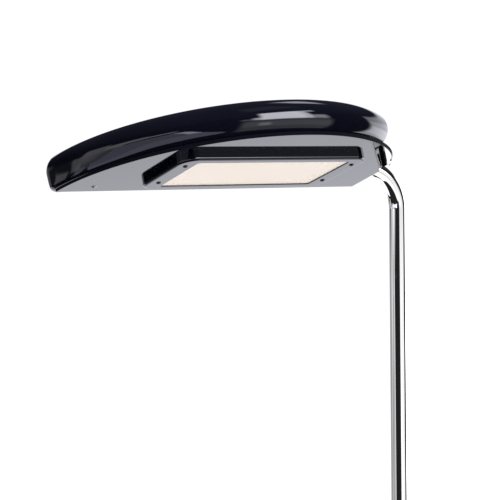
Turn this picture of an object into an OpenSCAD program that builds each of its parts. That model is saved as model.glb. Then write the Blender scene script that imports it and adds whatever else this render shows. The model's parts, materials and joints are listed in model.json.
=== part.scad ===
// Floor lamp with a half-round tilting head on a bent tube stem.
// Lengths are in millimetres. The origin is the centre of the underside of the base,
// Z points up, the arm runs along -X and the curved front of the head faces -Y.

/* [Stem] */
// Outside diameter of the stem tube
tube_d = 25; // [22:0.5:30]
// Wall of the stem tube
tube_wall = 2; // [1.5:0.1:3]
// Height of the arm axis above the floor
arm_h = 1700; // [1300:10:2000]
// Centre-line radius of the bend
bend_r = 60; // [50:1:100]
// Height of the joint between the lower and the upper tube
joint_h = 850; // [500:10:1000]
// Length of the sleeve inside that joint
sleeve_len = 140; // [80:5:200]
// Clearance of the sleeve in the tube, per side
sleeve_fit = 0.05; // [0.03:0.01:0.2]

/* [Hood] */
// Radius of the curved rim of the head
head_r = 250; // [235:1:280]
// Straight arm left between the rim and the bend
end_gap = 2; // [0:0.5:20]
// Upward tilt of the curved front at rest, in degrees
rest_tilt = 17; // [0:1:30]
// Radius of the rolled edge, half the height of the hood
roll_r = 24.5; // [23:0.5:32]
// Distance of the rolled edge's centre line inside the rim
roll_inset = 17; // [14:0.5:24]
// Distance of the arm axis in front of the centre of the half circle
axis_set = 16; // [8:0.5:30]
// Wall of the hood
hood_wall = 2; // [1.5:0.1:3]
// Width of the inward flange that the plate is screwed to
flange_w = 6; // [4:0.5:6.5]
// Clearance of the hood round the arm, per side
hood_bore_gap = 1.4; // [0.8:0.1:3]

/* [Shadow gap] */
// Direction of the middle of the shadow gap, from the outer end of the head
notch_mid = 141; // [136:1:146]
// Half the angle that the shadow gap takes from the rolled edge
notch_half = 18; // [12:0.5:20]
// Distance of the set-back wall outside the edge of the plate
wall_set = 13; // [9:0.5:15]
// Width of the lip that the hood shows along the plate's cut corner
gap_lip = 5; // [3:0.5:6]
// Depth of the plate's cut corner inside the rim
slot_depth = 22.5; // [18:0.5:28]
// Width of the strip of rim that crosses the shadow gap
strip_w = 4; // [3:0.5:6]

/* [Bottom plate] */
// Thickness of the bottom plate
plate_t = 2; // [1.5:0.1:3]
// Height of the turned-up rim from the underside of the plate
rim_h = 4.5; // [3.5:0.5:7]
// Width of the turned-up rim
rim_w = 2; // [1.5:0.1:3]
// Distance of the straight back edge behind the arm axis
plate_back = 2.5; // [0:0.5:4]
// Clearance between the arm and the posts of the plate screws
post_gap = 1; // [0.5:0.5:4]
// Distance of the outermost plate screw inside the end of the hood's centre line
screw_in = 29.5; // [22:0.5:40]

/* [Light box] */
// Width of the light box along the arm
box_w = 289; // [268:1:300]
// Depth of the light box
box_d = 128; // [120:1:134]
// Height of the light box under the plate
box_h = 9.5; // [9:0.5:14]
// Radius of the upright corners of the light box
box_corner = 22; // [12:0.5:24]
// Shift of the light box towards the outer end of the head
box_shift = 3; // [0:0.5:10]
// Distance of the light box's back wall in front of the row of plate screws
box_set = 14; // [8:1:22]
// Wall of the light box
box_wall = 2; // [1.5:0.1:3]
// Thickness of the face frame round the diffuser
face_t = 1.5; // [1.2:0.1:2]
// Width of the diffuser window
window_w = 236; // [180:1:238]
// Depth of the diffuser window
window_d = 101; // [80:1:103]
// Distance of the window's front edge behind the front wall
window_set = 13.5; // [11:0.5:15]
// Overlap of the diffuser on the face frame
diffuser_lap = 3; // [2:0.5:4]
// Thickness of the diffuser
diffuser_t = 2; // [1.5:0.5:2.5]
// Distance of the frame screws from the middle of the box, along the arm
face_screw_x = 130; // [127:0.5:132]
// Spacing of the two frame screws at each end
face_screw_step = 70; // [50:1:76]
// Distance of the front frame screws behind the front wall
face_screw_set = 26.5; // [22:0.5:36]
// Thickness of the heat spreader
spreader_t = 2; // [1.5:0.5:2.5]
// Thickness of the light board
board_t = 1.2; // [1:0.1:1.6]
// Number of light chips along the board
chip_columns = 12; // [6:1:16]
// Number of rows of light chips
chip_rows = 4; // [2:1:6]

/* [Tilt pivot] */
// Length of each pivot block along the arm
block_len = 30; // [20:1:40]
// Distance of the outer block's middle from the end of the hood's centre line
block_in = 34; // [30:1:45]
// Distance between the two pivot blocks
block_step = 150; // [146:1:160]
// Running clearance of the pivot blocks on the arm, per side
pivot_fit = 0.05; // [0.03:0.01:0.1]
// Diameter of the studs that carry the pivot blocks
stud_d = 5; // [4:0.5:6]

/* [Base] */
// Outside diameter of the base
base_d = 320; // [280:5:400]
// Thickness of the cast weight
weight_t = 18; // [16:0.5:24]
// Thickness of the pad under the base
pad_t = 3; // [2:0.5:5]
// Wall of the base cover
cover_wall = 2; // [1.5:0.1:3]
// Radius of the rounded edge of the base cover
cover_edge = 9; // [5:0.5:12]
// Height of the stem socket above the cover
socket_h = 46; // [35:1:70]
// Wall of the stem socket
socket_wall = 4.5; // [3.5:0.1:7]
// Running clearance of the stem in its socket, per side
socket_fit = 0.05; // [0.03:0.01:0.1]
// Distance of the foot switch in front of the stem
switch_out = 105; // [80:1:110]
// Diameter of the foot switch button
button_d = 26; // [20:0.5:30]
// Height of the button above the cover
button_up = 6; // [4:0.5:9]
// Travel of the button
button_travel = 3; // [2:0.5:4]
// Clearance round the button, per side
button_gap = 0.4; // [0.3:0.1:0.8]

/* [Hidden] */
$fn = 96;
// Facets of the small rolled section
roll_fn = 48;
// Facets of the large curves of the head
plan_fn = 180;
// Overshoot of cutting shapes
over = 1;
// Clearance of small pieces that are pressed or screwed in place, per side
small_fit = 0.05;

// Stem and arm
tube_r = tube_d / 2;
tube_in = tube_r - tube_wall;
head_reach = head_r + bend_r + end_gap;

// Hood
roll_c = head_r - roll_inset;
corner_a = asin(axis_set / roll_c);
half_w = roll_c * cos(corner_a);
slot_d = head_r - slot_depth;
gap_wall_d = slot_d + wall_set;
roof_in = roll_r - hood_wall;
// Step that keeps joined curved faces from lying in one another
back_step = 0.2;
gap_reach = roll_c + 2 * roll_r;
gap_slot_trim = 3;
gap_slot_h = 4 * hood_wall;
cap_out = 1.5;
cap_x = half_w + roll_r + cap_out;
cap_round = 9;

// Bottom plate
plate_top = -roll_r;
plate_z = plate_top - plate_t;
rim_trim_a = 0.5;
rim_a = asin((axis_set - plate_back) / head_r) + rim_trim_a;
rim_end_a = asin((axis_set + roll_r / 2) / head_r);
plate_screw_d = 4;
pilot_d = plate_screw_d - 0.8;
pilot_h = 12;
plate_screw_in = 9;
screw_first_x = half_w - screw_in;
screw_last_x = block_in - half_w + block_step / 2;
plate_screw_x = [screw_first_x, (screw_first_x + screw_last_x) / 2, screw_last_x];
post_r = 4.5;
screw_row = tube_r + post_r + post_gap;
screw_head_r = 3.4;
screw_head_t = 1.6;
screw_gap = 0.25;
screw_end = 1.5;

// Light box
box_front = screw_row + box_set + box_d;
box_z = plate_z - box_h;
face_in = box_z + face_t;
box_mid_y = box_front - box_d / 2;
window_mid_y = box_front - window_set - window_d / 2;
window_corner = 4;
face_screw_y = [box_front - face_screw_set, box_front - face_screw_set - face_screw_step];
face_screw_d = 3.5;
face_post_r = 3.8;
spreader_w = window_w + 4;
spreader_d = window_d - 8;
spreader_z = plate_z - spreader_t;
board_z = spreader_z - board_t;
board_w = window_w - 2;
board_d = window_d - 12;
chip_size = 3;
chip_t = 0.6;
chip_step_x = board_w / chip_columns;
chip_step_y = board_d / chip_rows;
wire_hole_r = 4;
wire_hole_x = box_shift - 0.3 * box_w;
wire_hole_y = box_front - box_d + box_wall + wire_hole_r + 1.6;
grommet_wall = 1;
grommet_lip = 1.2;

// Supply inside the hood
driver_size = [150, 44, 24];
driver_x = -40;
driver_y = 62;
terminal_size = [34, 18, 12];
terminal_x = -85;
terminal_y = 100;

// Tilt pivot
block_out_x = -(half_w - block_in);
block_in_x = block_out_x + block_step;
block_round_r = roof_in - 2.5;
block_front = 36;
block_low = -17;
stud_y = [22, 30];
stud_x = 9;
stud_end = block_low - 6;
nut_t = 4;
nut_across = 8;
axial_gap = 0.2;
washer_t = 1.2;
collar_len = 10;
collar_r = tube_r + 5.5;
washer_x = block_in_x + block_len / 2 + axial_gap;
collar_x = washer_x + washer_t + axial_gap;
ring_x = block_out_x - block_len / 2 - axial_gap - 6;
ring_len = 6;
ring_fit = 0.02;
arm_end_x = collar_x + collar_len + 14;
guard_lip = 2;
guard_in = 12;
guard_wall = 2;

// Base
base_r = base_d / 2;
weight_r = base_r - cover_wall - 1;
weight_top = pad_t + weight_t;
cover_top = weight_top + cover_wall;
cover_low = pad_t;
pad_r = weight_r - 4;
spigot_r = 9;
spigot_hole_r = 9.4;
wire_bore_r = 5;
well_r = 24;
channel_w = 14;
channel_h = 13;
counter_r = 21;
counter_h = 10;
base_washer_t = 2;
base_nut_t = 6;
base_nut_across = 26;
flange_r = tube_r + 20;
flange_t = 4;
socket_floor = cover_top + 6;
socket_top = cover_top + socket_h;
socket_r = tube_r + socket_fit + socket_wall;
thrust_t = 1.5;
stem_foot = socket_floor + thrust_t + axial_gap;
set_screw_r = 2.5;
set_screw_z = socket_top - 12;
switch_r = 20;
switch_low = pad_t + 2;
button_r = button_d / 2;
button_top = cover_top + button_up;
button_low = switch_low + 2 + button_travel + button_gap;
button_flange = 2.5;
button_flange_t = 3;
gland_z = cover_low + 7.5;
gland_r = 5.5;
gland_bore_r = 3.6;
gland_lip = 2;

lacquer = [0.06, 0.065, 0.09];
plated = [0.80, 0.80, 0.82];
bare = [0.62, 0.63, 0.65];

// Placement helpers

// The head at rest: x outwards along the arm, y to the curved front, z up from the arm axis
module in_head() {
  translate([-head_reach, 0, arm_h])
    rotate([-rest_tilt, 0, 0])
      rotate([0, 0, 180])
        children();
}

// The arm, with the same x as the head but not tilted
module on_arm() {
  translate([-head_reach, 0, arm_h])
    rotate([0, 0, 180])
      children();
}

// A ring along the arm
module arm_band(x, length, r_out, r_in) {
  translate([x, 0, 0])
    rotate([0, 90, 0])
      difference() {
        cylinder(r = r_out, h = length);
        translate([0, 0, -over])
          cylinder(r = r_in, h = length + 2 * over);
      }
}

// A flat ring
module band(z, height, r_out, r_in) {
  translate([0, 0, z])
    difference() {
      cylinder(r = r_out, h = height);
      translate([0, 0, -over])
        cylinder(r = r_in, h = height + 2 * over);
    }
}

// Sections and plans

module half_disc(r) {
  intersection() {
    circle(r = r, $fn = roll_fn);
    translate([0, -r])
      square([r, 2 * r]);
  }
}

module quarter_disc(r) {
  intersection() {
    circle(r = r, $fn = roll_fn);
    square([r, r]);
  }
}

module round_plate(w, d, r, t) {
  linear_extrude(height = t)
    difference() {
      square([w, d], center = true);
      for (sx = [-1, 1], sy = [-1, 1])
        translate([sx * (w / 2 - r), sy * (d / 2 - r)])
          scale([sx, sy])
            difference() {
              square([r + over, r + over]);
              circle(r = r);
            }
    }
}

// Opening in the floor of the hood, a half circle with one corner taken off
module floor_plan() {
  difference() {
    intersection() {
      translate([0, -axis_set])
        circle(r = roll_c - flange_w, $fn = plan_fn);
      translate([-head_r, flange_w])
        square([2 * head_r, head_r]);
    }
    translate([0, -axis_set])
      rotate(notch_mid)
        translate([slot_d - flange_w, -head_r])
          square([head_r, 2 * head_r]);
  }
}

// A point at distance d from the centre of the half circle, in direction a
function at(a, d) = [d * cos(a), d * sin(a) - axis_set];

// Disc with a full round edge, cut off along the arm axis
module half_lens(r) {
  intersection() {
    translate([0, -axis_set, 0])
      rotate_extrude($fn = plan_fn) {
        translate([0, -r])
          square([roll_c, 2 * r]);
        translate([roll_c, 0])
          half_disc(r);
      }
    translate([-2 * head_r, 0, -2 * r])
      cube([4 * head_r, 2 * head_r, 4 * r]);
  }
}

// Roll along the arm axis, with a flat rounded end where the arm goes in
module back_roll(r, end_x, edge) {
  translate([half_w, 0, 0])
    rotate([0, -90, 0])
      rotate_extrude($fn = roll_fn) {
        square([r, half_w + end_x - edge]);
        translate([0, half_w + end_x - edge])
          square([r - edge, edge]);
        translate([r - edge, half_w + end_x - edge])
          quarter_disc(edge);
      }
}

// The corner that the shadow gap takes out of the rolled edge, grown by a margin
module gap_plan(margin) {
  spread = notch_half + margin / roll_c * 180 / PI;
  foot = (gap_wall_d - margin) / cos(spread);
  polygon([
    at(notch_mid - spread, foot),
    at(notch_mid - spread, gap_reach),
    at(notch_mid, gap_reach + roll_r),
    at(notch_mid + spread, gap_reach),
    at(notch_mid + spread, foot)
  ]);
}

// Opening in the floor of the hood between that lip and the set-back wall
module gap_slot_plan() {
  spread = notch_half - gap_slot_trim;
  lip_reach = (slot_d + gap_lip) / cos(spread);
  wall_reach = (gap_wall_d - hood_wall) / cos(spread);
  polygon([
    at(notch_mid - spread, lip_reach),
    at(notch_mid - spread, wall_reach),
    at(notch_mid + spread, wall_reach),
    at(notch_mid + spread, lip_reach)
  ]);
}

// The form of the hood, drawn in from its outside by an inset
module hood_form(inset) {
  r = roll_r - inset;
  difference() {
    half_lens(r);
    translate([0, 0, -r - over])
      linear_extrude(height = 2 * (r + over))
        gap_plan(inset);
  }
  back_roll(r - back_step, cap_x - inset, cap_round - inset);
  translate([half_w, 0, 0])
    sphere(r = r - back_step, $fn = roll_fn);
}

// Head

module hood() {
  color(lacquer)
    in_head() {
      difference() {
        hood_form(0);
        hood_form(hood_wall);
        translate([0, 0, plate_top - over])
          linear_extrude(height = hood_wall + 2 * over)
            floor_plan();
        translate([0, 0, plate_top - over])
          linear_extrude(height = gap_slot_h + over)
            gap_slot_plan();
        translate([-cap_x - over, 0, 0])
          rotate([0, 90, 0])
            cylinder(r = tube_r + hood_bore_gap, h = hood_wall + 2 * over);
      }
      for (x = plate_screw_x)
        translate([x, screw_row, 0])
          plate_post();
      for (x = [block_out_x, block_in_x], side = [0, 1])
        translate([x + (2 * side - 1) * stud_x, stud_y[side], stud_end])
          cylinder(d = stud_d, h = roll_r - hood_wall / 2 - stud_end, $fn = 24);
    }
}

// Post from the roof to the flange that takes a plate screw
module plate_post() {
  difference() {
    translate([0, 0, plate_top])
      cylinder(r = post_r, h = 2 * roll_r - hood_wall / 2, $fn = 32);
    translate([0, 0, plate_top - over])
      cylinder(d = pilot_d, h = pilot_h + over, $fn = 24);
  }
}

module bottom_plate() {
  color(lacquer)
    in_head()
      difference() {
        union() {
          translate([0, 0, plate_z])
            linear_extrude(height = plate_t)
              plate_plan();
          translate([0, -axis_set, plate_top])
            rotate([0, 0, rim_a])
              rotate_extrude(angle = 180 - rim_a - rim_end_a, $fn = plan_fn)
                translate([head_r - rim_w, 0])
                  square([rim_w, rim_h - plate_t]);
        }
        translate([0, 0, plate_z - over])
          linear_extrude(height = plate_t + over)
            slot_plan();
        for (x = plate_screw_x)
          translate([x, screw_row, plate_z - over])
            cylinder(d = plate_screw_d + 2 * screw_gap, h = plate_t + 2 * over, $fn = 24);
        for (x = [-1, 1], y = face_screw_y)
          translate([box_shift + x * face_screw_x, y, plate_z - over])
            cylinder(d = face_screw_d + 2 * screw_gap, h = plate_t + 2 * over, $fn = 24);
        translate([wire_hole_x, wire_hole_y, plate_z - over])
          cylinder(r = wire_hole_r, h = plate_t + 2 * over, $fn = 32);
      }
}

module plate_plan() {
  intersection() {
    translate([0, -axis_set])
      circle(r = head_r, $fn = plan_fn);
    translate([-head_r, -plate_back])
      square([2 * head_r, head_r]);
  }
}

// Open part of the plate between its cut corner and the strip of rim
module slot_plan() {
  intersection() {
    translate([0, -axis_set])
      circle(r = head_r - strip_w, $fn = plan_fn);
    translate([0, -axis_set])
      rotate(notch_mid)
        translate([slot_d, -head_r])
          square([head_r, 2 * head_r]);
  }
}

module plate_screws() {
  color(bare)
    in_head()
      for (x = plate_screw_x)
        translate([x, screw_row, plate_z])
          dome_screw(pilot_d - 2 * small_fit, plate_t + plate_screw_in);
}

// Screw with a low dome head below z = 0 and its shank above
module dome_screw(d, length) {
  cylinder(d = d, h = length, $fn = 24);
  translate([0, 0, -screw_head_t])
    cylinder(r1 = screw_head_r * 0.7, r2 = screw_head_r, h = screw_head_t, $fn = 32);
}

module light_box() {
  color(lacquer)
    in_head()
      translate([box_shift, box_mid_y, box_z])
        difference() {
          union() {
            difference() {
              round_plate(box_w, box_d, box_corner, box_h);
              translate([0, 0, face_t])
                round_plate(box_w - 2 * box_wall, box_d - 2 * box_wall, box_corner - box_wall, box_h);
              translate([0, window_mid_y - box_mid_y, -over])
                round_plate(window_w, window_d, window_corner, face_t + 2 * over);
            }
            for (x = [-1, 1], y = face_screw_y)
              translate([x * face_screw_x, y - box_mid_y, face_t / 2])
                cylinder(r = face_post_r, h = box_h - face_t / 2, $fn = 32);
          }
          for (x = [-1, 1], y = face_screw_y)
            translate([x * face_screw_x, y - box_mid_y, -over])
              cylinder(d = face_screw_d + 2 * screw_gap, h = box_h + 2 * over, $fn = 24);
        }
}

module box_screws() {
  color(bare)
    in_head()
      for (x = [-1, 1], y = face_screw_y)
        translate([box_shift + x * face_screw_x, y, box_z])
          dome_screw(face_screw_d, box_h + plate_t + screw_end);
}

module diffuser() {
  color([0.97, 0.93, 0.88])
    in_head()
      translate([box_shift, window_mid_y, face_in])
        round_plate(window_w + 2 * diffuser_lap, window_d + 2 * diffuser_lap, window_corner, diffuser_t);
}

module heat_spreader() {
  color(bare)
    in_head()
      translate([box_shift - spreader_w / 2, window_mid_y - spreader_d / 2, spreader_z])
        cube([spreader_w, spreader_d, spreader_t]);
}

module light_board() {
  color([0.92, 0.93, 0.90])
    in_head()
      translate([box_shift - board_w / 2, window_mid_y - board_d / 2, board_z])
        cube([board_w, board_d, board_t]);
}

module light_chips() {
  color([0.95, 0.85, 0.35])
    in_head()
      for (i = [0 : chip_columns - 1], j = [0 : chip_rows - 1])
        translate([
          box_shift + (i - (chip_columns - 1) / 2) * chip_step_x - chip_size / 2,
          window_mid_y + (j - (chip_rows - 1) / 2) * chip_step_y - chip_size / 2,
          board_z - chip_t
        ])
          cube([chip_size, chip_size, chip_t]);
}

module wire_grommet() {
  color([0.10, 0.10, 0.11])
    in_head()
      translate([wire_hole_x, wire_hole_y, plate_z]) {
        band(0, plate_t + grommet_lip, wire_hole_r, wire_hole_r - grommet_wall);
        band(plate_t, grommet_lip, wire_hole_r + grommet_lip, wire_hole_r);
      }
}

module driver() {
  color([0.90, 0.90, 0.89])
    in_head()
      translate([driver_x, driver_y, plate_top])
        cube(driver_size);
}

module terminal_block() {
  color([0.93, 0.93, 0.91])
    in_head()
      translate([terminal_x, terminal_y, plate_top])
        cube(terminal_size);
}

// Tilt pivot

// Block that hangs from the roof of the hood and turns on the arm
module pivot_block(x) {
  in_head()
    translate([x - block_len / 2, 0, 0])
      difference() {
        union() {
          translate([0, 0, block_low])
            cube([block_len, block_front, roof_in - block_low]);
          rotate([0, 90, 0])
            cylinder(r = block_round_r, h = block_len);
        }
        translate([-over, 0, 0])
          rotate([0, 90, 0])
            cylinder(r = tube_r + pivot_fit, h = block_len + 2 * over);
        for (side = [0, 1])
          translate([block_len / 2 + (2 * side - 1) * stud_x, stud_y[side], block_low - over])
            cylinder(d = stud_d + 2 * screw_gap, h = 2 * roll_r, $fn = 24);
      }
}

module pivot_block_outer() {
  color(bare)
    pivot_block(block_out_x);
}

module pivot_block_inner() {
  color(bare)
    pivot_block(block_in_x);
}

module pivot_nuts() {
  color(bare)
    in_head()
      for (x = [block_out_x, block_in_x], side = [0, 1])
        translate([x + (2 * side - 1) * stud_x, stud_y[side], block_low - nut_t])
          difference() {
            cylinder(d = nut_across / cos(30), h = nut_t, $fn = 6);
            translate([0, 0, -over])
              cylinder(d = stud_d + 2 * small_fit, h = nut_t + 2 * over, $fn = 24);
          }
}

module friction_washer() {
  color([0.86, 0.84, 0.78])
    on_arm()
      arm_band(washer_x, washer_t, collar_r, tube_r + ring_fit);
}

module arm_collar() {
  color(bare)
    on_arm()
      arm_band(collar_x - axial_gap, collar_len, collar_r, tube_r + ring_fit);
}

module arm_ring() {
  color(bare)
    on_arm()
      arm_band(ring_x, ring_len, tube_r + 3, tube_r + ring_fit);
}

// Soft bush that keeps the wires off the cut end of the arm
module arm_guard() {
  color([0.10, 0.10, 0.11])
    on_arm() {
      arm_band(arm_end_x - guard_in, guard_in + guard_lip, tube_in - small_fit, tube_in - guard_wall);
      arm_band(arm_end_x, guard_lip, tube_r, tube_in - guard_wall);
    }
}

// Stem

module stem_upper() {
  color(plated) {
    band(joint_h, arm_h - bend_r - joint_h, tube_r, tube_in);
    translate([-bend_r, 0, arm_h - bend_r])
      rotate([90, 0, 0])
        rotate_extrude(angle = 90)
          translate([bend_r, 0])
            difference() {
              circle(r = tube_r, $fn = roll_fn);
              circle(r = tube_in, $fn = roll_fn);
            }
    on_arm()
      arm_band(bend_r - head_reach, arm_end_x + head_reach - bend_r, tube_r, tube_in);
  }
}

module stem_lower() {
  color(plated)
    band(stem_foot, joint_h - stem_foot, tube_r, tube_in);
}

module stem_sleeve() {
  color(bare)
    band(joint_h - sleeve_len / 2, sleeve_len, tube_in - sleeve_fit, tube_in - sleeve_fit - 2);
}

// Base

module base_pad() {
  color([0.12, 0.12, 0.13])
    cylinder(r = pad_r, h = pad_t);
}

module base_weight() {
  color([0.20, 0.20, 0.21])
    difference() {
      union() {
        translate([0, 0, pad_t])
          cylinder(r = weight_r, h = weight_t - cover_edge);
        translate([0, 0, weight_top - cover_edge])
          cylinder(r1 = weight_r, r2 = weight_r - cover_edge, h = cover_edge);
      }
      translate([0, 0, pad_t - over])
        cylinder(r = spigot_hole_r, h = weight_t + 2 * over, $fn = 48);
      translate([0, 0, pad_t - over])
        cylinder(r = counter_r, h = counter_h + over);
      translate([0, -switch_out, pad_t - over])
        cylinder(r = well_r, h = weight_t + 2 * over);
      translate([-channel_w / 2, -switch_out, pad_t - over])
        cube([channel_w, switch_out + base_r, channel_h + over]);
    }
}

module base_cover() {
  color(lacquer)
    difference() {
      union() {
        translate([0, 0, weight_top])
          cylinder(r = base_r - cover_edge, h = cover_wall);
        translate([0, 0, cover_top - cover_edge])
          rotate_extrude()
            translate([base_r - cover_edge, 0])
              difference() {
                quarter_disc(cover_edge);
                quarter_disc(cover_edge - cover_wall);
              }
        band(cover_low, cover_top - cover_edge - cover_low, base_r, base_r - cover_wall);
      }
      translate([0, 0, weight_top - over])
        cylinder(r = spigot_hole_r, h = cover_wall + 2 * over, $fn = 48);
      translate([0, -switch_out, weight_top - over])
        cylinder(r = button_r + button_gap, h = cover_wall + 2 * over);
      translate([0, base_r - cover_wall - over, gland_z])
        rotate([-90, 0, 0])
          cylinder(r = gland_r + small_fit, h = cover_wall + 2 * over);
    }
}

// Flange and neck that the stem turns in, with a spigot through the weight
module stem_socket() {
  color(plated)
    difference() {
      union() {
        translate([0, 0, cover_top])
          cylinder(r1 = flange_r, r2 = flange_r - 2, h = flange_t);
        translate([0, 0, cover_top + flange_t])
          cylinder(r = socket_r, h = socket_h - flange_t - 1.5);
        translate([0, 0, socket_top - 1.5])
          cylinder(r1 = socket_r, r2 = socket_r - 1.5, h = 1.5);
        translate([0, 0, pad_t + 1.5])
          cylinder(r = spigot_r, h = cover_top - pad_t - 1.5);
      }
      translate([0, 0, socket_floor])
        cylinder(r = tube_r + socket_fit, h = socket_h);
      cylinder(r = wire_bore_r, h = socket_top);
      translate([0, 0, set_screw_z])
        rotate([-90, 0, 0])
          cylinder(r = set_screw_r, h = socket_r + over, $fn = 24);
    }
}

module set_screw() {
  color([0.25, 0.25, 0.26])
    translate([0, 0, set_screw_z])
      rotate([-90, 0, 0])
        difference() {
          translate([0, 0, tube_r + 0.3])
            cylinder(r = set_screw_r - sleeve_fit, h = socket_r - tube_r - 1, $fn = 24);
          translate([0, 0, socket_r - 2.2])
            cylinder(r = 1.25, h = 4, $fn = 6);
        }
}

module thrust_washer() {
  color([0.90, 0.90, 0.86])
    band(socket_floor, thrust_t, tube_r - 0.3, wire_bore_r + 1);
}

module base_washer() {
  color(bare)
    band(pad_t + counter_h - base_washer_t, base_washer_t, counter_r - 2, spigot_r + 0.2);
}

module base_nut() {
  color(bare)
    translate([0, 0, pad_t + counter_h - base_washer_t - base_nut_t])
      difference() {
        cylinder(d = base_nut_across / cos(30), h = base_nut_t, $fn = 6);
        translate([0, 0, -over])
          cylinder(r = spigot_r + small_fit, h = base_nut_t + 2 * over, $fn = 48);
      }
}

// Inlet for the supply lead at the back of the base
module cord_gland() {
  color([0.10, 0.10, 0.11])
    translate([0, base_r - cover_wall, gland_z])
      rotate([-90, 0, 0]) {
        band(-3, cover_wall + 3, gland_r, gland_bore_r);
        band(cover_wall, gland_lip, gland_r + gland_lip, gland_bore_r);
      }
}

// Foot switch under the cover
module switch_body() {
  color([0.13, 0.13, 0.14])
    translate([0, -switch_out, 0])
      difference() {
        translate([0, 0, switch_low])
          cylinder(r = switch_r, h = weight_top - switch_low);
        translate([0, 0, switch_low + 2])
          cylinder(r = button_r + button_flange + button_gap, h = weight_t);
      }
}

module switch_button() {
  color(plated)
    translate([0, -switch_out, 0]) {
      translate([0, 0, button_low])
        cylinder(r = button_r + button_flange, h = button_flange_t);
      translate([0, 0, button_low + button_flange_t])
        cylinder(r = button_r, h = button_top - 2 - button_low - button_flange_t);
      translate([0, 0, button_top - 2])
        cylinder(r1 = button_r, r2 = button_r - 2, h = 2);
    }
}

base_pad();
base_weight();
base_cover();
stem_socket();
base_washer();
base_nut();
thrust_washer();
set_screw();
cord_gland();
switch_body();
switch_button();
stem_lower();
stem_sleeve();
stem_upper();
arm_ring();
arm_collar();
arm_guard();
friction_washer();
hood();
bottom_plate();
plate_screws();
pivot_block_outer();
pivot_block_inner();
pivot_nuts();
light_box();
box_screws();
diffuser();
heat_spreader();
light_board();
light_chips();
wire_grommet();
driver();
terminal_block();
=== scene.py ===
"""Looks, stage and camera for a floor lamp with a half-round tilting head.

Lengths of the lamp are millimetres and those of the studio metres. The head is drawn in its own frame,
x outwards along the arm, y to the curved front and z up from the arm axis, and then put in place.
"""

import json
import logging
import math
from dataclasses import dataclass
from enum import Enum
from typing import Callable, Dict, List, Optional, Sequence, Tuple, Union

import bmesh
import bpy
from mathutils import Matrix, Vector

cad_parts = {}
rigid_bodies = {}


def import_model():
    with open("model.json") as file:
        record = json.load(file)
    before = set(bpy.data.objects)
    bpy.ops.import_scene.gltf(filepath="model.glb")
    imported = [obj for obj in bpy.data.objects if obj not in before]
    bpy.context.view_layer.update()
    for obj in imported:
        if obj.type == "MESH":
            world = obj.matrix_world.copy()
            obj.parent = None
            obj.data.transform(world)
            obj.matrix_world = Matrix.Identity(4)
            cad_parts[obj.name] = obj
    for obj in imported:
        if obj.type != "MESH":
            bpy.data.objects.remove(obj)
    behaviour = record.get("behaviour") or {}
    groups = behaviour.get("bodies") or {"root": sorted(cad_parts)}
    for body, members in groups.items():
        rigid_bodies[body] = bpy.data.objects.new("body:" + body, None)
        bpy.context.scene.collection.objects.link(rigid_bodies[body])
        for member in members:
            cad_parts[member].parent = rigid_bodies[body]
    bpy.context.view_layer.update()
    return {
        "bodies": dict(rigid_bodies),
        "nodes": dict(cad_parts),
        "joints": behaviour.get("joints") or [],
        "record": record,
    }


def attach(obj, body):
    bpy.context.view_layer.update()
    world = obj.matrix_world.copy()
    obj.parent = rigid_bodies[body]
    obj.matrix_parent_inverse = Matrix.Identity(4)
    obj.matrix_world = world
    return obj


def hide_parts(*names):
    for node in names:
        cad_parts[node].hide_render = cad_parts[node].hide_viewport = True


LOG = logging.getLogger("lamp")
MM = 0.001
SMOOTH = "SMOOTHSTEP"
# Vertex attribute that marks painted shade: there the lacquer is made matt and almost free of reflection, so
# it renders dark
SHADE_MARK = "dull"

# Places of the sockets of a mix node
FACTOR, FLOAT_A, FLOAT_B, COLOUR_A, COLOUR_B = 0, 2, 3, 6, 7
FLOAT_OUT, COLOUR_OUT = 0, 2

Point = Tuple[float, float, float]
Flat = Tuple[float, float]
Ring = Sequence[Vector]
Colour = Tuple[float, float, float]
Light = Tuple[float, float, float, float]
Inputs = Dict[Union[str, int], object]


class Effect(Enum):
    """Surface effects that several finishes share."""

    PEEL = "orange_peel"
    SMUDGE = "smudge"
    GRAIN = "drawn_grain"
    CAST = "cast_grain"


class Body(Enum):
    """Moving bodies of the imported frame."""

    BASE = "base"
    STEM = "stem"
    HEAD = "head"
    BUTTON = "button"


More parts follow.
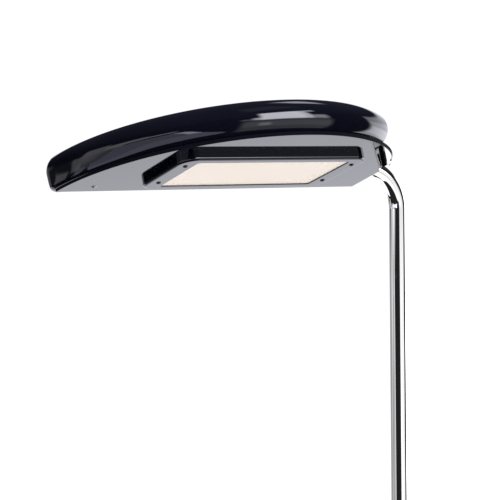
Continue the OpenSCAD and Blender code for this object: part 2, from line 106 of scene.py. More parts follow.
class Wiring:
    """Short ways to add and link the nodes of one tree."""

    def __init__(self, tree: bpy.types.NodeTree) -> None:
        """Keeps the tree.

        Args:
            tree: The tree to work in.
        """
        self.tree = tree

    @classmethod
    def group(cls, name: str, kind: str, inputs: Dict[str, str], outputs: Dict[str, str]) -> "Wiring":
        """Starts a node group.

        Args:
            name: Name of the group.
            kind: Type name of its tree.
            inputs: Type of each input by its name.
            outputs: Type of each output by its name.

        Returns:
            The wiring of the new group.
        """
        wiring = cls(bpy.data.node_groups.new(name, kind))
        for way, sockets in (("INPUT", inputs), ("OUTPUT", outputs)):
            for socket, form in sockets.items():
                wiring.tree.interface.new_socket(name=socket, in_out=way, socket_type=f"NodeSocket{form}")
        return wiring

    def feed(self, node: bpy.types.Node, inputs: Inputs) -> bpy.types.Node:
        """Sets or links inputs of a node.

        Args:
            node: The node.
            inputs: A value, or the socket to link, by the name or the place of the input.

        Returns:
            The same node.
        """
        for key, value in inputs.items():
            if isinstance(value, bpy.types.NodeSocket):
                self.tree.links.new(value, node.inputs[key])
            else:
                node.inputs[key].default_value = value
        return node

    def add(self, kind: str, inputs: Optional[Inputs] = None, **settings: object) -> bpy.types.Node:
        """Adds a node.

        Args:
            kind: Type name of the node.
            inputs: Values and sockets as for feed.
            settings: The node's own choices by name.

        Returns:
            The new node.
        """
        node = self.tree.nodes.new(kind)
        for name, value in settings.items():
            setattr(node, name, value)
        return self.feed(node, inputs or {})

    def maths(self, operation: str, *values: object) -> bpy.types.NodeSocket:
        """Adds one step of arithmetic.

        Args:
            operation: Name of the step.
            values: Numbers or sockets.

        Returns:
            The result.
        """
        return self.add("ShaderNodeMath", dict(enumerate(values)), operation=operation).outputs[0]

    def ramp(
        self, value: bpy.types.NodeSocket, span: Flat, result: Flat = (0.0, 1.0), kind: str = "LINEAR"
    ) -> bpy.types.NodeSocket:
        """Maps a number from one range to another.

        Args:
            value: The number.
            span: Range that it comes from.
            result: Range that it goes to.
            kind: How it moves between the ends.

        Returns:
            The mapped number.
        """
        ends: Inputs = {"Value": value, "From Min": span[0], "From Max": span[1]}
        ends.update({"To Min": result[0], "To Max": result[1]})
        return self.add("ShaderNodeMapRange", ends, interpolation_type=kind).outputs["Result"]


@dataclass(frozen=True)
class Finish:
    """One surface finish.

    The colour drifts to the tint under a broad smudge mask, which also moves the roughness between its two
    values, and a fine effect gives the bump. Where the painted shade attribute marks it, the surface is made
    matt and almost free of reflection, which paints it dark as shade.
    """

    name: str
    slot: str
    colour: Colour
    tint: Colour
    rough: Flat
    metallic: float = 0.0
    fine: Effect = Effect.PEEL
    fine_scale: float = 900.0
    fine_height: float = 0.03
    smudge_scale: float = 9.0
    glow: float = 0.0
    ior: float = 1.5
    # Attribute that marks painted shade, empty for none
    dull: str = ""


LACQUER = Finish(
    "black_lacquer",
    "hood_lacquer",
    (0.0016, 0.0019, 0.0042),
    (0.0022, 0.0025, 0.0054),
    (0.02, 0.04),
    # The lacquer takes painted shade where its pieces mark it
    dull=SHADE_MARK,
)
BASE_LACQUER = Finish(
    "base_lacquer", "base_lacquer", (0.0030, 0.0032, 0.0046), (0.0042, 0.0044, 0.0060), (0.05, 0.10)
)
CHROME = Finish(
    "chrome",
    "chrome_tube",
    (0.955, 0.95, 0.885),
    (0.915, 0.91, 0.845),
    (0.015, 0.03),
    1.0,
    Effect.GRAIN,
    1600.0,
    0.01,
)
ZINC = Finish(
    "zinc", "zinc_steel", (0.42, 0.43, 0.45), (0.34, 0.35, 0.37), (0.25, 0.4), 1.0, Effect.GRAIN, 800.0, 0.1
)
BLACK_STEEL = Finish(
    "black_steel", "dark_steel", (0.03, 0.03, 0.032), (0.05, 0.05, 0.05), (0.35, 0.5), 0.8, Effect.GRAIN
)
ALUMINIUM = Finish(
    "milled_aluminium",
    "bare_aluminium",
    (0.55, 0.56, 0.57),
    (0.48, 0.49, 0.50),
    (0.3, 0.45),
    1.0,
    Effect.GRAIN,
    700.0,
    0.15,
)
CAST = Finish(
    "cast_iron",
    "cast_weight",
    (0.03, 0.03, 0.032),
    (0.05, 0.046, 0.044),
    (0.6, 0.8),
    fine=Effect.CAST,
    fine_scale=500.0,
    fine_height=0.5,
)
OPAL = Finish(
    "opal",
    "opal",
    (0.503, 0.437, 0.353),
    (0.523, 0.457, 0.373),
    (0.35, 0.45),
    fine_scale=700.0,
    fine_height=0.02,
    smudge_scale=14.0,
    glow=0.62,
    ior=1.49,
)
BOARD = Finish("board", "white_board", (0.80, 0.82, 0.78), (0.74, 0.76, 0.72), (0.35, 0.5))
PHOSPHOR = Finish("phosphor", "yellow_chip", (0.85, 0.62, 0.10), (0.80, 0.55, 0.08), (0.3, 0.5))
CASE = Finish(
    "white_case",
    "white_case",
    (0.72, 0.72, 0.70),
    (0.66, 0.66, 0.64),
    (0.4, 0.55),
    fine=Effect.CAST,
    fine_scale=1500.0,
    fine_height=0.1,
)
RUBBER = Finish(
    "rubber",
    "black_rubber",
    (0.012, 0.012, 0.013),
    (0.018, 0.018, 0.018),
    (0.6, 0.8),
    fine=Effect.CAST,
    fine_scale=1800.0,
    fine_height=0.3,
)
PLASTIC = Finish(
    "black_plastic",
    "black_plastic",
    (0.015, 0.015, 0.017),
    (0.022, 0.022, 0.023),
    (0.4, 0.55),
    fine=Effect.CAST,
)
SLIP = Finish("slip_plastic", "slip_plastic", (0.70, 0.68, 0.60), (0.64, 0.62, 0.55), (0.4, 0.5))

CARRIED: Dict[Finish, Tuple[str, ...]] = {
    RUBBER: ("base_pad", "arm_guard", "wire_grommet"),
    CAST: ("base_weight",),
    ZINC: ("base_washer", "base_nut", "stem_sleeve", "arm_ring", "arm_collar", "pivot_nuts"),
    SLIP: ("thrust_washer", "friction_washer"),
    BLACK_STEEL: ("set_screw",),
    PLASTIC: ("switch_body",),
    ALUMINIUM: ("pivot_block_outer", "pivot_block_inner", "heat_spreader"),
    BOARD: ("light_board",),
    PHOSPHOR: ("light_chips",),
    CASE: ("driver", "terminal_block"),
}


class FinishShop:
    """Builds every shared shader group and every material once."""

    noise_detail: Dict[Effect, float] = {
        Effect.PEEL: 1.0,
        Effect.SMUDGE: 5.0,
        Effect.GRAIN: 3.0,
        Effect.CAST: 3.0,
    }
    noise_rough: float = 0.55
    mask_span: Flat = (0.3, 0.7)
    bump_depth_m: float = 0.0002
    drawn_out: Point = (1.0, 1.0, 0.03)
    # Painted shade: roughness where marked, and specular level from unmarked to marked
    shade_rough: float = 0.75
    shade_gloss: Flat = (0.5, 0.05)

    def __init__(self) -> None:
        """Starts with nothing made."""
        self._groups: Dict[Effect, bpy.types.NodeTree] = {}
        self._made: Dict[Finish, bpy.types.Material] = {}

    def material(self, finish: Finish) -> bpy.types.Material:
        """Gives the material of a finish.

        Args:
            finish: Which finish.

        Returns:
            Its material.
        """
        if finish not in self._made:
            self._made[finish] = self._build(finish)
        return self._made[finish]

    def _group(self, effect: Effect) -> bpy.types.NodeTree:
        """Gives the group of an effect: a noise, stretched for drawn metal, read as a mask and as a bump.

        Args:
            effect: Which effect.

        Returns:
            The group with outputs Mask and Normal.
        """
        if effect in self._groups:
            return self._groups[effect]
        inputs = {"Vector": "Vector", "Scale": "Float", "Height": "Float"}
        wiring = Wiring.group(effect.value, "ShaderNodeTree", inputs, {"Mask": "Float", "Normal": "Vector"})
        source = wiring.add("NodeGroupInput")
        vector = source.outputs["Vector"]
        if effect is Effect.GRAIN:
            stretch = wiring.add("ShaderNodeVectorMath", {0: vector, 1: self.drawn_out}, operation="MULTIPLY")
            vector = stretch.outputs["Vector"]
        grain = {"Vector": vector, "Scale": source.outputs["Scale"], "Roughness": self.noise_rough}
        noise = wiring.add("ShaderNodeTexNoise", {**grain, "Detail": self.noise_detail[effect]}).outputs[0]
        height = {"Strength": source.outputs["Height"], "Distance": self.bump_depth_m, "Height": noise}
        bump = wiring.add("ShaderNodeBump", height)
        mask = wiring.ramp(noise, self.mask_span, kind=SMOOTH)
        wiring.add("NodeGroupOutput", {"Mask": mask, "Normal": bump.outputs["Normal"]})
        self._groups[effect] = wiring.tree
        return wiring.tree

    def _build(self, finish: Finish) -> bpy.types.Material:
        """Makes the material of a finish.

        Args:
            finish: Which finish.

        Returns:
            The new material.
        """
        material = bpy.data.materials.new(finish.name)
        material.use_nodes = True
        wiring = Wiring(material.node_tree)
        place = wiring.add("ShaderNodeTexCoord").outputs["Object"]
        broad = {"Vector": place, "Scale": finish.smudge_scale, "Height": 0.0}
        smudge = wiring.add("ShaderNodeGroup", broad, node_tree=self._group(Effect.SMUDGE)).outputs["Mask"]
        close = {"Vector": place, "Scale": finish.fine_scale, "Height": finish.fine_height}
        fine = wiring.add("ShaderNodeGroup", close, node_tree=self._group(finish.fine))
        colours = {FACTOR: smudge, COLOUR_A: (*finish.colour, 1.0), COLOUR_B: (*finish.tint, 1.0)}
        colour = wiring.add("ShaderNodeMix", colours, data_type="RGBA").outputs[COLOUR_OUT]
        rough = wiring.ramp(smudge, (0.0, 1.0), finish.rough)
        inputs: Inputs = {"Base Color": colour, "Roughness": rough, "Normal": fine.outputs["Normal"]}
        inputs.update({"Metallic": finish.metallic, "IOR": finish.ior})
        # Painted shade: where the mark is set, roughness rises and specular level drops, so the surface
        # reflects almost nothing and renders dark
        if finish.dull:
            mark = wiring.add("ShaderNodeAttribute", attribute_name=finish.dull).outputs["Fac"]
            shade_mix = {FACTOR: mark, FLOAT_A: rough, FLOAT_B: self.shade_rough}
            inputs["Roughness"] = wiring.add("ShaderNodeMix", shade_mix, data_type="FLOAT").outputs[FLOAT_OUT]
            inputs["Specular IOR Level"] = wiring.ramp(mark, (0.0, 1.0), self.shade_gloss)
        if finish.glow > 0.0:
            inputs.update({"Emission Color": colour, "Emission Strength": finish.glow})
        wiring.feed(wiring.tree.nodes["Principled BSDF"], inputs)
        return material


def link_object(name: str, data: bpy.types.ID) -> bpy.types.Object:
    """Puts a new object into the scene.

    Args:
        name: Name of the object.
        data: What it shows.

    Returns:
        The new object.
    """
    obj = bpy.data.objects.new(name, data)
    bpy.context.scene.collection.objects.link(obj)
    return obj


def polar(r: float, turn_deg: float) -> Flat:
    """Point on a circle.

    Args:
        r: Radius.
        turn_deg: Angle in degrees.

    Returns:
        Its x and y.
    """
    return (r * math.cos(math.radians(turn_deg)), r * math.sin(math.radians(turn_deg)))


def fillet(points: Sequence[Flat], radii: Sequence[float], steps: int) -> List[Flat]:
    """Rounds the corners of a closed outline.

    Args:
        points: Corners in order.
        radii: Rounding of each corner, zero for none.
        steps: Steps of each arc.

    Returns:
        The rounded outline.
    """
    result: List[Flat] = []
    count = len(points)
    for i, radius in enumerate(radii):
        here = Vector(points[i])
        if radius <= 0.0:
            result.append((here.x, here.y))
            continue
        to_last = (Vector(points[i - 1]) - here).normalized()
        to_next = (Vector(points[(i + 1) % count]) - here).normalized()
        half = to_last.angle(to_next) / 2.0
        reach = radius / math.tan(half)
        centre = here + (to_last + to_next).normalized() * (radius / math.sin(half))
        start = here + to_last * reach - centre
        end = here + to_next * reach - centre
        turn = start.angle_signed(end)
        for k in range(steps + 1):
            spoke = start.copy()
            spoke.rotate(Matrix.Rotation(-turn * k / steps, 2))
            result.append((centre.x + spoke.x, centre.y + spoke.y))
    return result


def round_box(width: float, depth: float, radius: float, middle: Flat, steps: int = 10) -> List[Flat]:
    """Outline of a rectangle with round corners.

    Args:
        width: Size in x.
        depth: Size in y.
        radius: Corner radius.
        middle: Centre.
        steps: Steps of each corner.

    Returns:
        Points of the outline, the same number for any size.
    """
    points: List[Flat] = []
    for quarter, (sx, sy) in enumerate(((1, 1), (-1, 1), (-1, -1), (1, -1))):
        cx = middle[0] + sx * (width / 2.0 - radius)
        cy = middle[1] + sy * (depth / 2.0 - radius)
        for k in range(steps + 1):
            x, y = polar(radius, 90.0 * (quarter + k / steps))
            points.append((cx + x, cy + y))
    return points


def smooth_step(value: float, low: float, high: float) -> float:
    """Eases from 0 at low to 1 at high.

    Args:
        value: Where to read.
        low: Start of the ramp.
        high: End of the ramp.

    Returns:
        A number from 0 to 1.
    """
    t = min(1.0, max(0.0, (value - low) / (high - low)))
    return t * t * (3.0 - 2.0 * t)


def soft_min(a: float, b: float, blend: float) -> float:
    """Lesser of two numbers with a rounded change between them.

    Args:
        a: First number.
        b: Second number.
        blend: Width of the rounding.

    Returns:
        The soft minimum.
    """
    h = min(1.0, max(0.0, 0.5 + 0.5 * (b - a) / blend))
    return b + (a - b) * h - blend * h * (1.0 - h)


class MeshKit:
    """Turns rings and profiles into clean, shaded mesh objects."""

    weld_m: float = 1e-6
    sliver_m: float = 1e-7
    face_weight: int = 80
    turned_sharp_deg: float = 40.0

    def __init__(self, shop: FinishShop) -> None:
        """Keeps the finishes at hand.

        Args:
            shop: Where materials come from.
        """
        self.shop = shop

    def loft(
        self,
        name: str,
        rings: Sequence[Ring],
        finish: Finish,
        sharp_deg: float = 50.0,
        closed: bool = True,
        joined: bool = True,
    ) -> bpy.types.Object:
        """Skins rings of points into an object.

        Args:
            name: Name of the object.
            rings: The rings in metres, all with the same number of points.
            finish: The finish to show.
            sharp_deg: Edges that turn more than this stay sharp.
            closed: Whether each ring closes on itself.
            joined: Whether the last ring joins the first; if not, both ends are capped.

        Returns:
            The new object.
        """
        mesh = bmesh.new()
        rows = [[mesh.verts.new(p) for p in ring] for ring in rings]
        count = len(rows[0])
        for low, high in zip(rows, rows[1:] + rows[:1] if joined else rows[1:]):
            for i in range(count if closed else count - 1):
                j = (i + 1) % count
                mesh.faces.new((low[i], low[j], high[j], high[i]))
        if not joined:
            mesh.faces.new(rows[0])
            mesh.faces.new(rows[-1][::-1])
        elif not closed:
            mesh.faces.new([row[0] for row in rows])
            mesh.faces.new([row[-1] for row in reversed(rows)])
        bmesh.ops.remove_doubles(mesh, verts=mesh.verts, dist=self.weld_m)
        bmesh.ops.dissolve_degenerate(mesh, edges=mesh.edges, dist=self.sliver_m)
        bmesh.ops.recalc_face_normals(mesh, faces=mesh.faces)
        data = bpy.data.meshes.new(name)
        mesh.to_mesh(data)
        mesh.free()
        data.materials.append(self.shop.material(finish))
        return self.shade(link_object(name, data), sharp_deg)

    def shade(self, obj: bpy.types.Object, sharp_deg: float = 50.0) -> bpy.types.Object:
        """Smooths an object, with large faces ruling the normals so that flats stay flat.

        Args:
            obj: The object.
            sharp_deg: Edges that turn more than this stay sharp.

        Returns:
            The same object.
        """
        obj.data.polygons.foreach_set("use_smooth", [True] * len(obj.data.polygons))
        obj.data.set_sharp_from_angle(angle=math.radians(sharp_deg))
        weigh = obj.modifiers.new("weigh", "WEIGHTED_NORMAL")
        weigh.keep_sharp = True
        weigh.weight = self.face_weight
        return self.bake(obj)

    @staticmethod
    def bake(obj: bpy.types.Object) -> bpy.types.Object:
        """Applies every modifier of an object.

        Args:
            obj: The object.

        Returns:
            The same object with a plain mesh.
        """
        name = obj.data.name
        mesh = bpy.data.meshes.new_from_object(obj.evaluated_get(bpy.context.evaluated_depsgraph_get()))
        obj.modifiers.clear()
        old = obj.data
        obj.data = mesh
        mesh.name = name
        if old.users == 0:
            bpy.data.meshes.remove(old)
        return obj

    def lathe(
        self, name: str, profile: Sequence[Flat], finish: Finish, sides: int, place: Optional[Matrix] = None
    ) -> bpy.types.Object:
        """Turns a closed profile about an axis.

        Args:
            name: Name of the object.
            profile: Points (radius, height) round the section, radius above zero.
            finish: The finish to show.
            sides: Steps round.
            place: Puts the turned form, drawn about +Z, in place.

        Returns:
            The new object.
        """
        axis = (place or Matrix()) @ Matrix.Scale(MM, 4)
        turns = [2.0 * math.pi * i / sides for i in range(sides)]
        rings = [[axis @ Vector((r * math.cos(a), r * math.sin(a), z)) for a in turns] for r, z in profile]
        return self.loft(name, rings, finish, self.turned_sharp_deg)


class FormTree:
    """Geometry node tree of one kind of repeated or drawn-out form."""

    def __init__(self, kit: MeshKit, name: str, inputs: Dict[str, str]) -> None:
        """Starts the tree.

        Args:
            kit: Mesh tools.
            name: Name of the tree.
            inputs: Type of each input by its name, besides the finish.
        """
        self.kit = kit
        sockets = {**inputs, "Finish": "Material"}
        self.wiring = Wiring.group(name, "GeometryNodeTree", sockets, {"Forms": "Geometry"})
        self.source = self.wiring.add("NodeGroupInput")

    def close(self, forms: bpy.types.NodeSocket) -> None:
        """Ends the tree: makes the forms real and paints them.

        Args:
            forms: The forms.
        """
        real = self.wiring.add("GeometryNodeRealizeInstances", {"Geometry": forms})
        coat = {"Geometry": real.outputs["Geometry"], "Material": self.source.outputs["Finish"]}
        paint = self.wiring.add("GeometryNodeSetMaterial", coat)
        self.wiring.add("NodeGroupOutput", {"Forms": paint.outputs["Geometry"]})

    def grow(
        self,
        name: str,
        points: Sequence[Vector],
        edges: Sequence[Tuple[int, int]],
        finish: Finish,
        values: Dict[str, object],
    ) -> bpy.types.Object:
        """Makes an object by the tree.

        Args:
            name: Name of the object.
            points: What the tree starts from, in metres.
            edges: Pairs of joined points.
            finish: The finish to show.
            values: Value of each input by its name.

        Returns:
            The new object with a plain mesh.
        """
        data = bpy.data.meshes.new(name)
        data.from_pydata(list(points), list(edges), [])
        obj = link_object(name, data)
        modifier = obj.modifiers.new(self.wiring.tree.name, "NODES")
        modifier.node_group = self.wiring.tree
        given = {**values, "Finish": self.kit.shop.material(finish)}
        for item in self.wiring.tree.interface.items_tree:
            if item.item_type == "SOCKET" and item.in_out == "INPUT" and item.name in given:
                modifier[item.identifier] = given[item.name]
        return self.kit.bake(obj)


class TubeTree(FormTree):
    """Sweeps a round tube along a path of edges."""

    sides: int = 96

    def __init__(self, kit: MeshKit) -> None:
        """Builds the tree.

        Args:
            kit: Mesh tools.
        """
        super().__init__(kit, "tube_sweep", {"Path": "Geometry", "Radius": "Float", "Sides": "Int"})
        source = self.source.outputs
        curve = self.wiring.add("GeometryNodeMeshToCurve", {"Mesh": source["Path"]})
        round_form = {"Resolution": source["Sides"], "Radius": source["Radius"]}
        circle = self.wiring.add("GeometryNodeCurvePrimitiveCircle", round_form)
        lines = {"Curve": curve.outputs["Curve"], "Profile Curve": circle.outputs["Curve"], "Fill Caps": True}
        self.close(self.wiring.add("GeometryNodeCurveToMesh", lines).outputs["Mesh"])

    def sweep(self, name: str, path: Sequence[Point], radius: float, finish: Finish) -> bpy.types.Object:
        """Makes a tube along a path.

        Args:
            name: Name of the object.
            path: Points of the centre line.
            radius: Outside radius.
            finish: The finish to show.

        Returns:
            The new object.
        """
        edges = [(i, i + 1) for i in range(len(path) - 1)]
        values = {"Radius": radius * MM, "Sides": self.sides}
        return self.kit.shade(self.grow(name, [Vector(p) * MM for p in path], edges, finish, values))


class ScatterTree(FormTree):
    """Puts one form at every point of a mesh."""

    def __init__(self, kit: MeshKit) -> None:
        """Builds the tree.

        Args:
            kit: Mesh tools.
        """
        super().__init__(kit, "scatter_form", {"Points": "Geometry", "Form": "Object", "Turn": "Rotation"})
        source = self.source.outputs
        form = self.wiring.add("GeometryNodeObjectInfo", {"Object": source["Form"]})
        copies = {"Points": source["Points"], "Rotation": source["Turn"]}
        copies["Instance"] = form.outputs["Geometry"]
        self.close(self.wiring.add("GeometryNodeInstanceOnPoints", copies).outputs["Instances"])

    def scatter(
        self, name: str, form: bpy.types.Object, points: Sequence[Vector], turn: Matrix, finish: Finish
    ) -> bpy.types.Object:
        """Puts a form at points and removes the pattern that was copied.

        Args:
            name: Name of the object.
            form: The pattern, drawn about its own origin.
            points: Where copies go, in metres.
            turn: How every copy is turned.
            finish: The finish to show.

        Returns:
            The new object with all copies.
        """
        obj = self.grow(name, points, [], finish, {"Form": form, "Turn": turn.to_euler()})
        old = form.data
        bpy.data.objects.remove(form)
        bpy.data.meshes.remove(old)
        return obj


@dataclass(frozen=True)
class Pose:
    """Where the head hangs on the arm at rest."""

    reach: float = 312.0
    arm_h: float = 1700.0
    tilt_deg: float = 17.0

    def head(self) -> Matrix:
        """Placement of the head frame.

        Returns:
            A matrix from head millimetres to metres in the lamp's frame.
        """
        turn = Matrix.Rotation(math.radians(-self.tilt_deg), 4, "X") @ Matrix.Rotation(math.pi, 4, "Z")
        return Matrix.Translation(Vector((-self.reach, 0.0, self.arm_h)) * MM) @ turn @ Matrix.Scale(MM, 4)


@dataclass
class HeadPiece:
    """Tools and sizes that the makers of the head's pieces share.

    The curved front is a circle whose centre lies axis_set behind the arm axis. The gap's wall and lip are
    square to gap_mid, and the straight inner end is square to end_turn, end_d from the head's origin.
    """

    kit: MeshKit
    pose: Pose
    axis_set: float = 16.0
    roll_r: float = 24.5
    plate_t: float = 2.0
    gap_mid: float = 141.0
    end_turn: float = 177.0
    end_d: float = 226.0

    @property
    def under(self) -> float:
        """Height of the plate's lower face.

        Returns:
            Its z in the head frame.
        """
        return -self.roll_r - self.plate_t

    def placed(self, rings: Sequence[Ring]) -> List[List[Vector]]:
        """Puts rings of the head frame in place.

        Args:
            rings: Points in head millimetres.

        Returns:
            Points in metres in the lamp's frame.
        """
        place = self.pose.head()
        return [[place @ p for p in ring] for ring in rings]

    def mark_painted_shade(self, obj: bpy.types.Object, rule: Callable[[Vector], float]) -> None:
        """Marks where a piece gets painted shade, matt and almost free of reflection so it renders dark.

        Args:
            obj: The piece.
            rule: Gives the mark, 0 to 1, of a point in head millimetres.
        """
        back = self.pose.head().inverted()
        marks = [rule(back @ vert.co) for vert in obj.data.vertices]
        obj.data.attributes.new(SHADE_MARK, "FLOAT", "POINT").data.foreach_set("value", marks)

    def bearing(self, point: Vector) -> float:
        """Direction of a point from the centre of the curved front.

        Args:
            point: The point in head millimetres.

        Returns:
            Angle in degrees.
        """
        return math.degrees(math.atan2(point.y + self.axis_set, point.x))


@dataclass(frozen=True)
class Station:
    """One stop round the hood: its point, its outward direction in degrees, and if it is on the arc."""

    x: float
    y: float
    turn: float
    on_arc: bool = False


@dataclass
class Hood(HeadPiece):
    """The rolled half-round shell with its stepped-in corner and straight inner end."""

    roll_c: float = 233.0
    wall: float = 2.0
    flange: float = 6.0
    roof_set: Flat = (3.0, 10.0)
    gap_ends: Flat = (127.0, 152.65)
    gap_ease: float = 0.9
    gap_wall: float = 240.5
    gap_lip: float = 232.5
    gap_draft: float = 0.35
    gap_least: float = 2.7
    gap_full: float = 3.0
    groove_d: float = 10.0
    groove_round: float = 1.0
    end_set: float = 11.8
    end_ease: Flat = (58.0, 76.0)
    end_round: float = 1.2
    fuller: float = 0.6
    fuller_from: Flat = (-90.0, -60.0)
    fuller_to: Flat = (92.0, 120.0)
    fuller_turns: Flat = (15.0, 65.0)
    tip_fuller: float = 2.2
    tip_to: Flat = (8.0, 45.0)
    tip_sooner: Flat = (15.0, 25.0)
    tip_short: float = 0.06
    # Extent of the groove's painted shade: how far in from the lip and from the wall, and the rise above the
    # floor
    shade_set: Flat = (0.4, 1.3)
    shade_rise: Flat = (0.5, 12.0)
    ball_steps: int = 18
    run_steps: int = 16
    turn_steps: int = 8
    upper_steps: int = 26
    lower_steps: int = 10

    @property
    def half_w(self) -> float:
        """Distance from the middle to each end of the centre line.

        Returns:
            Half the length of the straight back.
        """
        return math.sqrt(self.roll_c**2 - self.axis_set**2)

    def stations(self) -> List[Station]:
        """Walks once round the centre line.

        Returns:
            The stations in order.
        """
        corner = math.degrees(math.asin(self.axis_set / self.roll_c))
        ball, runs = self.ball_steps, self.run_steps
        stops = [Station(self.half_w, 0.0, -90.0 + (90.0 + corner) * k / ball) for k in range(ball)]
        for a in self._arc_angles(corner):
            x, y = polar(self.roll_c, a)
            stops.append(Station(x, y - self.axis_set, a, True))
        first = stops[-1]
        last_x = (self.end_d - self.end_set) / math.cos(math.radians(self.end_turn))
        swing = (self.end_turn - first.turn) / self.turn_steps
        stops += [Station(first.x, first.y, first.turn + swing * k) for k in range(1, self.turn_steps + 1)]
        for k in range(1, runs):
            part = k / runs
            stops.append(Station(first.x + (last_x - first.x) * part, first.y * (1.0 - part), self.end_turn))
        swing = (270.0 - self.end_turn) / ball
        stops += [Station(last_x, 0.0, self.end_turn + swing * k) for k in range(ball + 1)]
        stops += [Station(last_x + (self.half_w - last_x) * k / runs, 0.0, 270.0) for k in range(1, runs)]
        return stops

    def _arc_angles(self, corner: float, fine_deg: float = 0.12, fine_steps: int = 12) -> List[float]:
        """Angles along the half circle, closer together at the ends of the gap.

        Args:
            corner: Angle of the first end.
            fine_deg: Step at the ends of the gap.
            fine_steps: Steps to each side of these ends.

        Returns:
            Angles in degrees.
        """
        last = self.gap_ends[1]
        angles = {round(corner, 4), last}
        angles.update(float(a) for a in range(math.ceil(corner), math.floor(last) + 1))
        for end in self.gap_ends:
            angles.update(round(end + fine_deg * k, 4) for k in range(-fine_steps, fine_steps + 1))
        return sorted(a for a in angles if a <= last)

    def _turns(self) -> List[float]:
        """Turns of the section, closer together at the bottom.

        Returns:
            Angles from the top to the bottom in degrees.
        """
        upper = [90.0 - 150.0 * k / self.upper_steps for k in range(self.upper_steps + 1)]
        return upper + [-60.0 - 30.0 * k / self.lower_steps for k in range(1, self.lower_steps + 1)]

    def section(self, stop: Station, r: float, margin: float) -> List[Vector]:
        """Rolled section at one station, changed to the groove where the gap is.

        Args:
            stop: The station.
            r: Radius of the roll.
            margin: How far inside the outer skin this surface lies.

        Returns:
            Points from top to bottom in head millimetres.
        """
        c, s = polar(1.0, stop.turn)
        press = self._press(stop)
        groove = self._groove(stop, r, margin) if press > 0.0 else []
        start = smooth_step(stop.turn, *self.fuller_from)
        tip = start * (1.0 - smooth_step(stop.turn, *self.tip_to))
        swell = self.fuller * start * (1.0 - smooth_step(stop.turn, *self.fuller_to)) + self.tip_fuller * tip
        span = [turn - sooner * tip for turn, sooner in zip(self.fuller_turns, self.tip_sooner)]
        reach = self._end_reach(stop.x, stop.y, stop.turn, margin)
        points: List[Vector] = []
        for k, t in enumerate(self._turns()):
            power = 2.0 / (2.0 + swell * smooth_step(-t, *span))
            off = (1.0 - self.tip_short * tip) * r * max(0.0, math.cos(math.radians(t))) ** power
            z = math.copysign(r * abs(math.sin(math.radians(t))) ** power, t)
            if press > 0.0:
                off += press * (groove[k][0] - off)
                z += press * (groove[k][1] - z)
            off = soft_min(off, reach, self.end_round) if reach < 2.0 * r else off
            points.append(Vector((stop.x + off * c, stop.y + off * s, z)))
        return points

    def _end_reach(self, x: float, y: float, turn: float, margin: float) -> float:
        """How far the straight inner end lies from a point.

        Args:
            x: The point's place along the arm.
            y: Its place to the front.
            turn: Direction to look in, in degrees.
            margin: How far inside the outer skin the end lies.

        Returns:
            Distance in millimetres, very large where the end is behind.
        """
        c, s = polar(1.0, self.end_turn)
        lean = math.cos(math.radians(turn - self.end_turn))
        return (self.end_d - margin - x * c - y * s) / lean if lean > 0.05 else 1e6

    def _press(self, stop: Station) -> float:
        """How far the section has changed to the groove.

        Args:
            stop: The station.

        Returns:
            0 for the plain roll, 1 in the gap.
        """
        if stop.on_arc:
            return smooth_step(stop.turn - self.gap_ends[0], 0.0, self.gap_ease)
        beside = self.gap_ends[1] < stop.turn < self.end_turn + 0.01
        return smooth_step(stop.y, *self.end_ease) if beside else 0.0

    def _groove(self, stop: Station, r: float, margin: float) -> List[Flat]:
        """Section through the gap: leaning wall, its lower edge, a deep groove and the lip beside the plate.

        Args:
            stop: The station.
            r: Radius of the roll.
            margin: How far inside the outer skin this surface lies.

        Returns:
            Offset from the centre line and height, one for each turn.
        """
        mid, low = math.radians(self.gap_mid), -r
        lean = math.cos(math.radians(stop.turn) - mid)
        base = stop.x * math.cos(mid) + (stop.y + self.axis_set) * math.sin(mid)
        reach = self._end_reach(stop.x, stop.y, stop.turn, margin)
        wall = min((self.gap_wall - margin - base) / lean, reach)
        lip = min((self.gap_lip - margin - base) / lean, wall - self.gap_least)
        upper: List[Flat] = []
        for t in self._turns()[: self.upper_steps + 1]:
            off, z = polar(r, t)
            upper.append((soft_min(off, wall - self.gap_draft * (r + z), 2.0), z))
        if margin > 0.0:
            down = [(wall - self.gap_draft * (r - 1.2 - 0.2 * k), -1.2 - 0.2 * k) for k in range(10)]
            over = [(down[-1][0] + (lip - down[-1][0]) * k / 6.0, -3.2) for k in range(7)]
            return upper[:17] + down + over + [(lip, low + 2.0), (lip, low + 1.0), (lip, low)]
        share = max(0.05, min(1.0, (wall - lip - self.gap_least) / self.gap_full))
        deep, roof = low + self.groove_d * share, low + (self.groove_d + self.groove_round) * share
        side = wall - 2.0 - self.gap_draft * self.groove_d * share
        edge = [(wall, low + 1.2), (wall - 0.5, low + 0.6), (wall - 1.4, low + 0.6), (wall - 1.9, low + 1.2)]
        slot = [(side, deep), (side - 0.4, roof), (lip + 0.4, roof), (lip, deep)]
        return upper + edge + slot + [(lip, low + 0.4), (lip - 0.4, low)]

    def drawn_in(self, stop: Station, inset: float, z: float) -> Vector:
        """A point of the centre line drawn into the flat of the roof or floor.

        Args:
            stop: The station.
            inset: How far it moves in.
            z: Its height.

        Returns:
            The moved point in head millimetres.
        """
        x, y = stop.x, stop.y
        c, s = polar(1.0, self.end_turn)
        for _ in range(3):
            reach = math.hypot(x, y + self.axis_set)
            if reach > self.roll_c - inset:
                keep = (self.roll_c - inset) / reach
                x, y = x * keep, (y + self.axis_set) * keep - self.axis_set
            y = max(y, inset)
            short = min(0.0, self._end_reach(x, y, self.end_turn, self.end_set + inset))
            x += short * c
            y += short * s
        return Vector((x, y, z))

